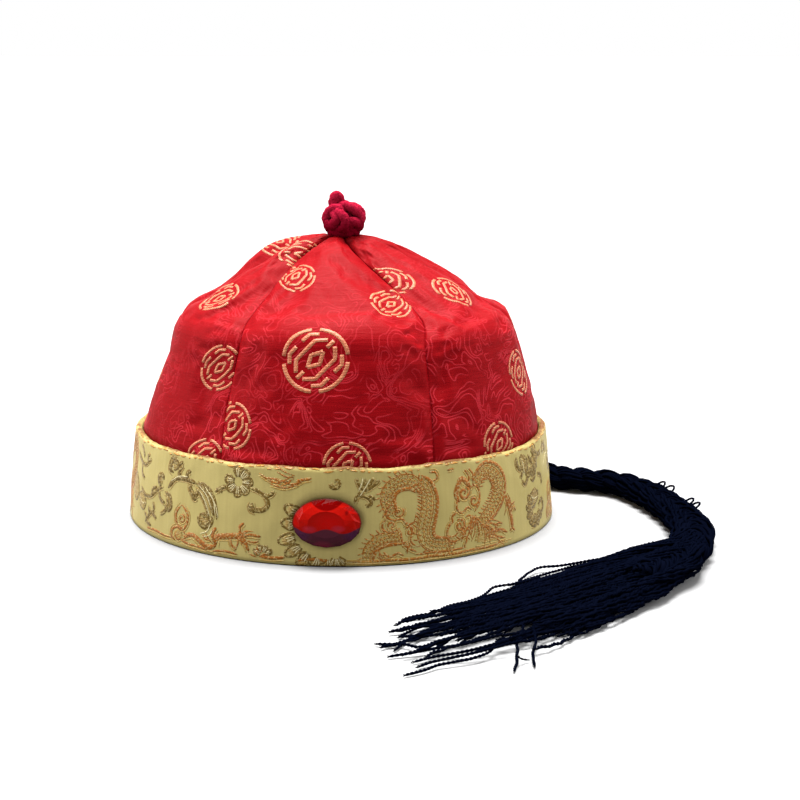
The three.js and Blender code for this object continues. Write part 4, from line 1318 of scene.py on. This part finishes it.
# Lines of the olive vines and leaves: width, then places
OLIVE_LINES = [
    # Vine right of the stone
    (1.2, coil(3.6, 35.0, 2.8, -1.1, 190)), (1.2, [(11.2, 26.4), (12.4, 29.4), (15, 32.4), (16, 36.6)]),
    (0.9, [(12.2, 36.8), (13.6, 33.4), (15.2, 32)]), (1.1, [(15, 32), (18.2, 35), (19.4, 37.4)]),
    (1.1, [(15.4, 31.6), (19, 33.8), (22, 36.2)]),
    (1.2, [(12.8, 29.8), (16.4, 29), (18.4, 26.6), (16.2, 24.6)]),
    (1.3, [(15.8, 28.8), (18.6, 29.4), (19.6, 27.4)]),
    # Scroll leaf at the left
    (1.7, [(-78.4, 24.4), (-73.6, 29.4), (-67, 30.4), (-60.4, 29.2)]),
    (1.5, [(-66.4, 30.6), (-66.6, 33.4), (-64.4, 34)]),
    (1.9, [(-61, 29.4), (-55.8, 27), (-52, 22.6), (-50.2, 17.4)]),
    (1.2, [(-60, 30.4), (-53.6, 28.4), (-49.8, 23), (-48.6, 16)]),
    (1.1, [(-61, 27.4), (-56.4, 23.6), (-53.6, 18.8), (-52.8, 14.6)]),
    (1.0, [(-57.4, 29.4), (-51, 25), (-48.2, 18.4)]),
    (2.2, [(-51, 17), (-52.2, 13.4), (-55.4, 12.2), (-58, 14.4), (-57.2, 17)]),
    (1.5, [(-56.6, 17.6), (-54.8, 15.6)]),
    (1.7, [(-64.6, 29), (-63.6, 25.8), (-60.6, 24.4), (-59.2, 26)]),
    (1.4, [(-63.4, 26), (-61.4, 22.6), (-60, 23.4)]),
    # Curl and fan over it
    (1.7, [(-72.4, 29.4), (-71.6, 33), (-73.6, 36.4), (-77.2, 36), (-78, 32.8), (-75.6, 31.6)]),
    (1.3, [(-74.4, 36.4), (-74.8, 38.6)]), (1.3, [(-72.4, 35.2), (-70, 37.8)]),
    (1.1, [(-71.8, 33), (-69.4, 35.8)]),
    (2.0, [(-78.2, 37.4), (-75.6, 37.8), (-73.6, 37)]),
    # Stem to the blossom and the curl right of it
    (1.5, [(-50.4, 27.4), (-47.4, 29.4), (-44.4, 31)]), (1.2, [(-47.4, 29.2), (-46.6, 27.4)]),
    (1.3, [(-33.6, 31.6), (-29, 30.2), (-25.8, 28), (-24.6, 24.4), (-27.4, 22), (-31, 22.4), (-31.8, 25)]),
    (1.4, [(-26.8, 28.6), (-23.8, 28.8), (-22.4, 31)]), (1.8, [(-31.6, 24.6), (-32.4, 22.6), (-29.8, 21.6)]),
    # Far left stem, buds and fern
    (1.3, [(-104, 20), (-98, 17.4), (-92, 18.4), (-86.4, 22.4), (-82, 24)]),
    (1.3, [(-86, 22.6), (-83.6, 18.6), (-80, 17.6)]),
    (2.0, [(-84, 24), (-86.4, 27), (-84.6, 29.4), (-81.8, 27.4)]),
    (1.4, [(-92, 18.4), (-90.6, 22), (-87.6, 23)]),
    (1.5, [(-80.6, 22.4), (-76.6, 21), (-75.4, 17), (-77.8, 14.2)]), (1.4, [(-78, 15), (-80.2, 16.8)]),
    (1.1, [(-78.6, 20.6), (-77.8, 17.6), (-79.4, 14.4), (-83.6, 11.6)]),
    (1.2, [(-98, 5), (-93.6, 9.6), (-88.6, 13.4)]), (1.2, [(-93.6, 9.6), (-94.4, 13.4)]),
    (1.2, [(-91, 11.4), (-86.8, 9.4)]),
    (1.2, [(-95.6, 7), (-98.6, 9.8)]), (1.2, [(-96, 5.6), (-91.6, 4.8)]),
    (1.2, [(-89.4, 12.8), (-90.4, 16)]),
    (1.2, [(-114, 34), (-108, 31.6), (-101.6, 30.4), (-97, 32.6)]), (1.1, coil(-97.6, 34.4, 2.0, 1.1, 0)),
    (1.1, [(-105.4, 31), (-103.6, 26), (-100.4, 24.4)]), (1.1, [(-110, 38), (-105.6, 36.4), (-103, 33.4)]),
    # Leaves and petals at the far right
    (1.6, [(93.4, 37.6), (94.2, 33), (97.4, 30.6), (96, 27)]),
    (1.6, [(97.6, 37.8), (101.6, 34.6), (100.8, 30.4)]),
    (1.4, [(96.6, 26.6), (99.2, 24.4), (101.6, 26.8), (100.4, 30)]),
    (1.4, [(104, 37), (106.6, 33), (111, 33.6)]),
    (1.4, [(103.4, 28.4), (107.4, 30.4), (110.4, 27.4), (107.6, 24.4), (104.4, 25.4)]),
    (1.5, [(110.8, 37.6), (114.6, 34.6), (119, 35.4)]), (1.3, [(112.4, 26.4), (116.6, 24.6), (118, 20.6)]),
    (1.5, [(99.6, 12.6), (103.4, 16.4), (107.4, 19), (112.6, 18.4)]),
    (1.5, [(100.4, 10.4), (104.6, 12.4), (109.4, 13.4)]),
    (1.5, [(101.6, 6.4), (105.4, 8.4), (110.4, 8.4)]), (1.3, [(103.6, 4.4), (108.6, 4.4), (113.4, 6.4)]),
    (1.3, [(112.4, 12.4), (116.4, 14.4), (118.4, 10.4), (115.4, 7.4)]),
]
OLIVE_PATCHES = [
    [(96.4, 36.8), (100.4, 37), (103.4, 33.4), (101.4, 29.8), (97.6, 31.4)],
    [(104, 18.8), (108.6, 20.4), (112.4, 16.4), (108.4, 13.2), (103.6, 14.2)],
    [(106.4, 34.4), (110.6, 35.4), (112.4, 31.8), (108.6, 30.4)],
    [(-106, 16.6), (-104.6, 11.4), (-99.4, 10.8), (-97.4, 14.8), (-101.4, 18.2)],
    [(-117.6, 21), (-113, 24.4), (-108.6, 21), (-107.4, 15.6), (-112, 12), (-117, 14.6)],
    [(-57.8, 16.8), (-54.6, 17.6), (-52.6, 14.6), (-55.2, 12.8), (-58, 14)],
    [(-77.8, 35.6), (-73.8, 37.6), (-72.6, 34.6), (-75.4, 33)],
]
# Pale threads that lie along the vines, in the blossom and over the flame beast
PALE_LINES = [
    (0.5, [(-76.6, 27.6), (-72, 30.8), (-66, 31.6)]), (0.5, [(-59, 28.4), (-54.4, 25), (-51.4, 20)]),
    (0.5, [(-58.4, 26.4), (-54.8, 22), (-52.4, 17)]), (0.5, [(-55.6, 28.4), (-50.6, 23.4), (-49.4, 18)]),
    (0.5, [(-53, 26.8), (-49.2, 21.4), (-48, 17)]), (0.5, [(-75.6, 35), (-76.4, 33.4), (-75, 32.6)]),
    (0.5, [(-57, 8.8), (-53.2, 10.6), (-52, 13.4)]), (0.5, [(-55.4, 7.6), (-51.8, 9), (-50.6, 11.4)]),
    (0.5, [(13.4, 29.4), (16, 33.4), (18, 36.8)]), (0.5, [(13, 31.6), (14.4, 35), (14.8, 37)]),
    (0.5, [(98, 36), (99.4, 32), (99, 28)]), (0.5, [(104.6, 17.4), (108, 16), (111.4, 16.4)]),
    (0.5, [(-104, 14.6), (-101, 13), (-98.6, 14)]),
]
BLOSSOMS = [  # middle, radius, petals, first and last angle, heart
    (-38.6, 33.4, 6.6, 7, 150, 480, 0.30), (0.5, 17.5, 22.0, 5, 192, 280, 0.66),
    (0.5, 17.5, 19.5, 2, 150, 190, 0.72), (-26.6, 3.4, 4.4, 4, 10, 180, 0.3),
    (3.5, 5.2, 6.0, 3, 230, 330, 0.3),
    (105.6, 34.2, 8.0, 6, 190, 420, 0.4), (109.0, 12.6, 9.5, 7, 130, 330, 0.4),
]
PATTERN_REPEAT = 199.0  # the woven pattern comes three times round the band
PATTERN_FRONT = (-118.0, 121.0)  # stretch that the front copy fills
GILT_START, GILT_END = -298.0, 296.0  # of the gilt threads on the fold, all round the band


def copies(places):
    """How far to shift a figure for each of its copies round the band."""
    low, high = min(p[0] for p in places), max(p[0] for p in places)
    shifts = [0.0]
    half = BAND_ROUND / MM / 2
    for shift in (-PATTERN_REPEAT, PATTERN_REPEAT):
        behind = high + shift < PATTERN_FRONT[0] or low + shift > PATTERN_FRONT[1]
        if behind and abs(low + shift) < half and abs(high + shift) < half:
            shifts.append(shift)
    return shifts


def make_figures(cloth, threads):
    """The band's woven figures: a scaled beast in clouds, vines with blossoms, and a flame beast."""
    orange, gold, olive, tan, pale, gilt = (Body() for _ in threads)
    for centre, halves, spines in SERPENTS:
        for shift in copies(centre):
            serpent(orange, gold, cloth, centre, halves, spines, shift)
    for root, turns, count, reach in TUFTS:
        for shift in copies([root]):
            tuft(orange, cloth, root, turns, count, reach, shift)
    for body, lines, heavier in ((orange, ORANGE_LINES, 1.25), (olive, OLIVE_LINES, 1.5),
                                 (pale, PALE_LINES, 1.1)):
        for width, places in lines:
            for shift in copies(places):
                rise = PALE_RISE if body is pale else WOVEN_RISE
                weave(body, cloth, places, width * heavier, shift, rise)
                if body is orange:
                    weave(gold, cloth, places, 0.75, shift, ASIDE_RISE, aside=width * 0.62 + 0.45)
                if body is olive:
                    weave(tan, cloth, places, 0.70, shift, ASIDE_RISE, aside=width * 0.65 + 0.35)
    for body, ground, patches in ((orange, gold, ORANGE_PATCHES), (olive, tan, OLIVE_PATCHES)):
        for outline in patches:
            for shift in copies(outline):
                hatch(ground, cloth, outline, shift)
                if body is olive:
                    weave(body, cloth, outline + outline[:1], 1.0, shift, taper=0.0)
    for x, y, radius, *rest in BLOSSOMS:
        for shift in copies([(x - radius, y), (x + radius, y)]):
            blossom(olive, tan if x > 100 else pale, tan, cloth, x, y, radius, *rest, shift)
    random.seed(5)
    place = GILT_START
    while place < GILT_END:
        place += random.uniform(0.2, 2.4)
        long = random.uniform(1.0, 4.5)
        level = BAND_HEIGHT / MM - random.uniform(-0.9, 0.7)
        bend = level + random.uniform(-0.4, 0.4)
        weave(gilt, cloth, [(place, level), (place + long / 2, bend), (place + long, level)],
              random.uniform(0.7, 1.4), 0.0, taper=0.3)
        place += long
    names = ("orange_figures", "gold_grounds", "olive_figures", "tan_grounds", "pale_threads", "gilt_fold")
    for body, thread, name in zip((orange, gold, olive, tan, pale, gilt), threads, names):
        body.piece(f"band_{name}", thread, "cream_brocade")


# Knot

KNOT_MIDDLE = CROWN_HEIGHT + 0.0083
# KNOT_SHADE is the height over which the painted shade on the knot's underside gives way to the cord's own
# colour.
KNOT_SHADE = 0.010  # height over which the cord turns lighter
KNOT_LEAN = 0.0012  # how far the knot sits beside its stem
KNOT_BALL = 7.3  # millimetres from the knot's middle to the cord's centreline
KNOT_CORD, BIGHT_CORD = 2.15, 2.35  # radius of the cord in millimetres
CORD_SIDES, CORD_PLIES = 16, 3
CORD_LAY = 0.0075  # length in which the cord's plies go once round it
# Strands of the knot as seen from the front, in millimetres: across, up, and out of the ball; then the
# turns about the upright axis at which each strand also lies
KNOT_STRANDS = [
    ([(-1.0, 0.4, -2.0), (-1.2, 4.4, 0), (-4.6, 4.6, 0.3), (-7.0, 2.2, 0.6), (-7.1, -0.8, 0.5),
      (-4.8, -2.6, 0.2), (-2.2, -2.0, -1.8)], (0, 175)),
    ([(-2.2, 5.8, -1.5), (1.6, 6.0, 0.6), (4.6, 4.4, 0.9), (6.9, 1.6, 0.6), (7.1, -1.8, 0.6), (5.6, -4.2, 0),
      (2.6, -4.8, -1.0)], (0, 180)),
    ([(-3.4, 4.2, -0.6), (-0.8, 2.6, 1.0), (1.2, 0.2, 1.1), (0.8, -2.4, 0.6), (-2.0, -4.6, -0.5)],
     (0, 120, 240)),
    ([(2.4, -3.2, -1.0), (3.6, -0.6, 0.9), (5.2, -0.8, 0.9), (5.8, -3.4, -0.6)], (0, 190)),
    ([(-6.0, -3.6, -0.8), (-2.6, -5.6, 0.4), (1.6, -5.9, 0.5), (5.4, -4.4, -0.6)], (0, 95, 180, 270)),
    ([(-6.8, -0.8, -0.8), (-7.0, -3.4, 0.3), (-5.0, -5.8, -0.3), (-1.6, -6.8, -1.2)], (0, 90, 180)),
    ([(-5.0, -2.2, -0.6), (-2.6, 0.6, 0.6), (-4.2, 3.0, -0.8)], (0, 100, 200, 300)),
]
KNOT_BIGHT = [
    (-4.4, 4.6, 1.4), (-4.4, 7.8, 1.2), (-3.6, 9.9, 0.9), (-2.5, 9.9, 0.7), (-1.8, 7.8, 0.6),
    (-1.4, 4.4, 0.4),
]


def cord_rings(course, radius, seed):
    """Rings of a twisted cord: its frame is carried along the course, its plies stand out of it."""
    way = directions(course)
    side = np.zeros_like(course)
    first = np.cross(way[0], [0.3, 0.2, 0.93])
    side[0] = first / np.linalg.norm(first)
    for i in range(1, len(course)):
        carried = side[i - 1] - way[i] * (side[i - 1] @ way[i])
        side[i] = carried / np.linalg.norm(carried)
    rise = np.cross(side, way)
    run = lengths_along(course)
    turn = np.linspace(0, TURN, CORD_SIDES, endpoint=False)
    rings = np.empty((len(course), CORD_SIDES, 3))
    for i in range(len(course)):
        for k in range(CORD_SIDES):
            ply = abs(math.sin(CORD_PLIES / 2 * (turn[k] + run[i] / CORD_LAY * TURN)))
            spot = Vector((run[i] / 0.0011, math.cos(turn[k]) * 2 + seed, math.sin(turn[k]) * 2))
            reach = radius * (0.90 + 0.13 * ply + 0.09 * noise.noise(spot))
            rings[i, k] = course[i] + (side[i] * math.cos(turn[k]) + rise[i] * math.sin(turn[k])) * reach
    return rings


def make_knot(cord):
    """The button knot: strands of one twisted cord over a ball, and a bight that stands on top."""
    body = Body()
    middle = np.array([KNOT_LEAN, AXIS[1], KNOT_MIDDLE])
    heights = np.linspace(-1, 1, 15)
    core = np.stack([np.zeros(15), np.zeros(15), heights * 6.3 * MM], 1) + middle
    girth = 6.2 * MM * np.sqrt(np.maximum(0.03, 1 - heights ** 2))
    turn = np.linspace(0, TURN, 24, endpoint=False)
    level = np.stack([np.cos(turn), np.sin(turn), np.zeros(24)], 1)
    body.tube(core[:, None] + level[None] * girth[:, None, None])
    stem = np.array([[0, AXIS[1], CROWN_HEIGHT - 0.0078], [0, AXIS[1], KNOT_MIDDLE - 0.004]])
    body.tube(stem[:, None] + level[None, ::2] * (STEM_HOLE - GAP))
    for number, (places, turns) in enumerate(KNOT_STRANDS):
        across, up, out = np.array(places).T
        ball = np.sqrt(np.maximum(1.0, (KNOT_BALL + out) ** 2 - across ** 2 - up ** 2))
        shell = np.stack([across, -ball, up], 1)
        limit = (KNOT_BALL + out) / np.linalg.norm(shell, axis=1)
        shell = shell * np.minimum(1, limit)[:, None]
        for angle in turns:
            c, s = math.cos(math.radians(angle)), math.sin(math.radians(angle))
            x, y, z = shell.T
            turned = np.stack([x * c - y * s, x * s + y * c, z], 1)
            course = curve(turned * MM, 0.0004) + middle
            body.tube(cord_rings(course, KNOT_CORD * MM, number * 3.3 + angle))
    across, up, out = np.array(KNOT_BIGHT).T
    course = curve(np.stack([across, -out, up], 1) * MM, 0.0004) + middle
    body.tube(cord_rings(course, BIGHT_CORD * MM, 77.0))
    body.piece("knotted_cord", cord, "crimson_cord", "button_knot")


make_camera()
make_room()
yarn = black_yarn()
make_plait(yarn)
make_tail(yarn)
roundel_gold = woven_thread("roundel gold", (0.15, 0.012, 0.007), (0.31, 0.135, 0.062), pitch=0.00062,
                            between=0.0)
make_crown(red_brocade(), roundel_gold)
make_figures(make_band(cream_brocade()), (
    woven_thread("orange thread", (0.085, 0.023, 0.0015), (0.235, 0.075, 0.005)),
    woven_thread("gold thread", (0.150, 0.080, 0.012), (0.275, 0.180, 0.046)),
    woven_thread("olive thread", (0.042, 0.023, 0.002), (0.110, 0.064, 0.008)),
    woven_thread("tan thread", (0.120, 0.068, 0.014), (0.210, 0.140, 0.040)),
    woven_thread("pale thread", (0.22, 0.18, 0.08), (0.38, 0.33, 0.19), between=0.2),
    woven_thread("gilt thread", (0.11, 0.038, 0.003), (0.30, 0.150, 0.018), specular=0.2, between=0.0),
))
make_knot(crimson_cord())

for node, finish in (("lining_edge", lining_cloth()), ("stone", red_stone())):
    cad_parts[node].data.materials.clear()
    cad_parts[node].data.materials.append(finish)
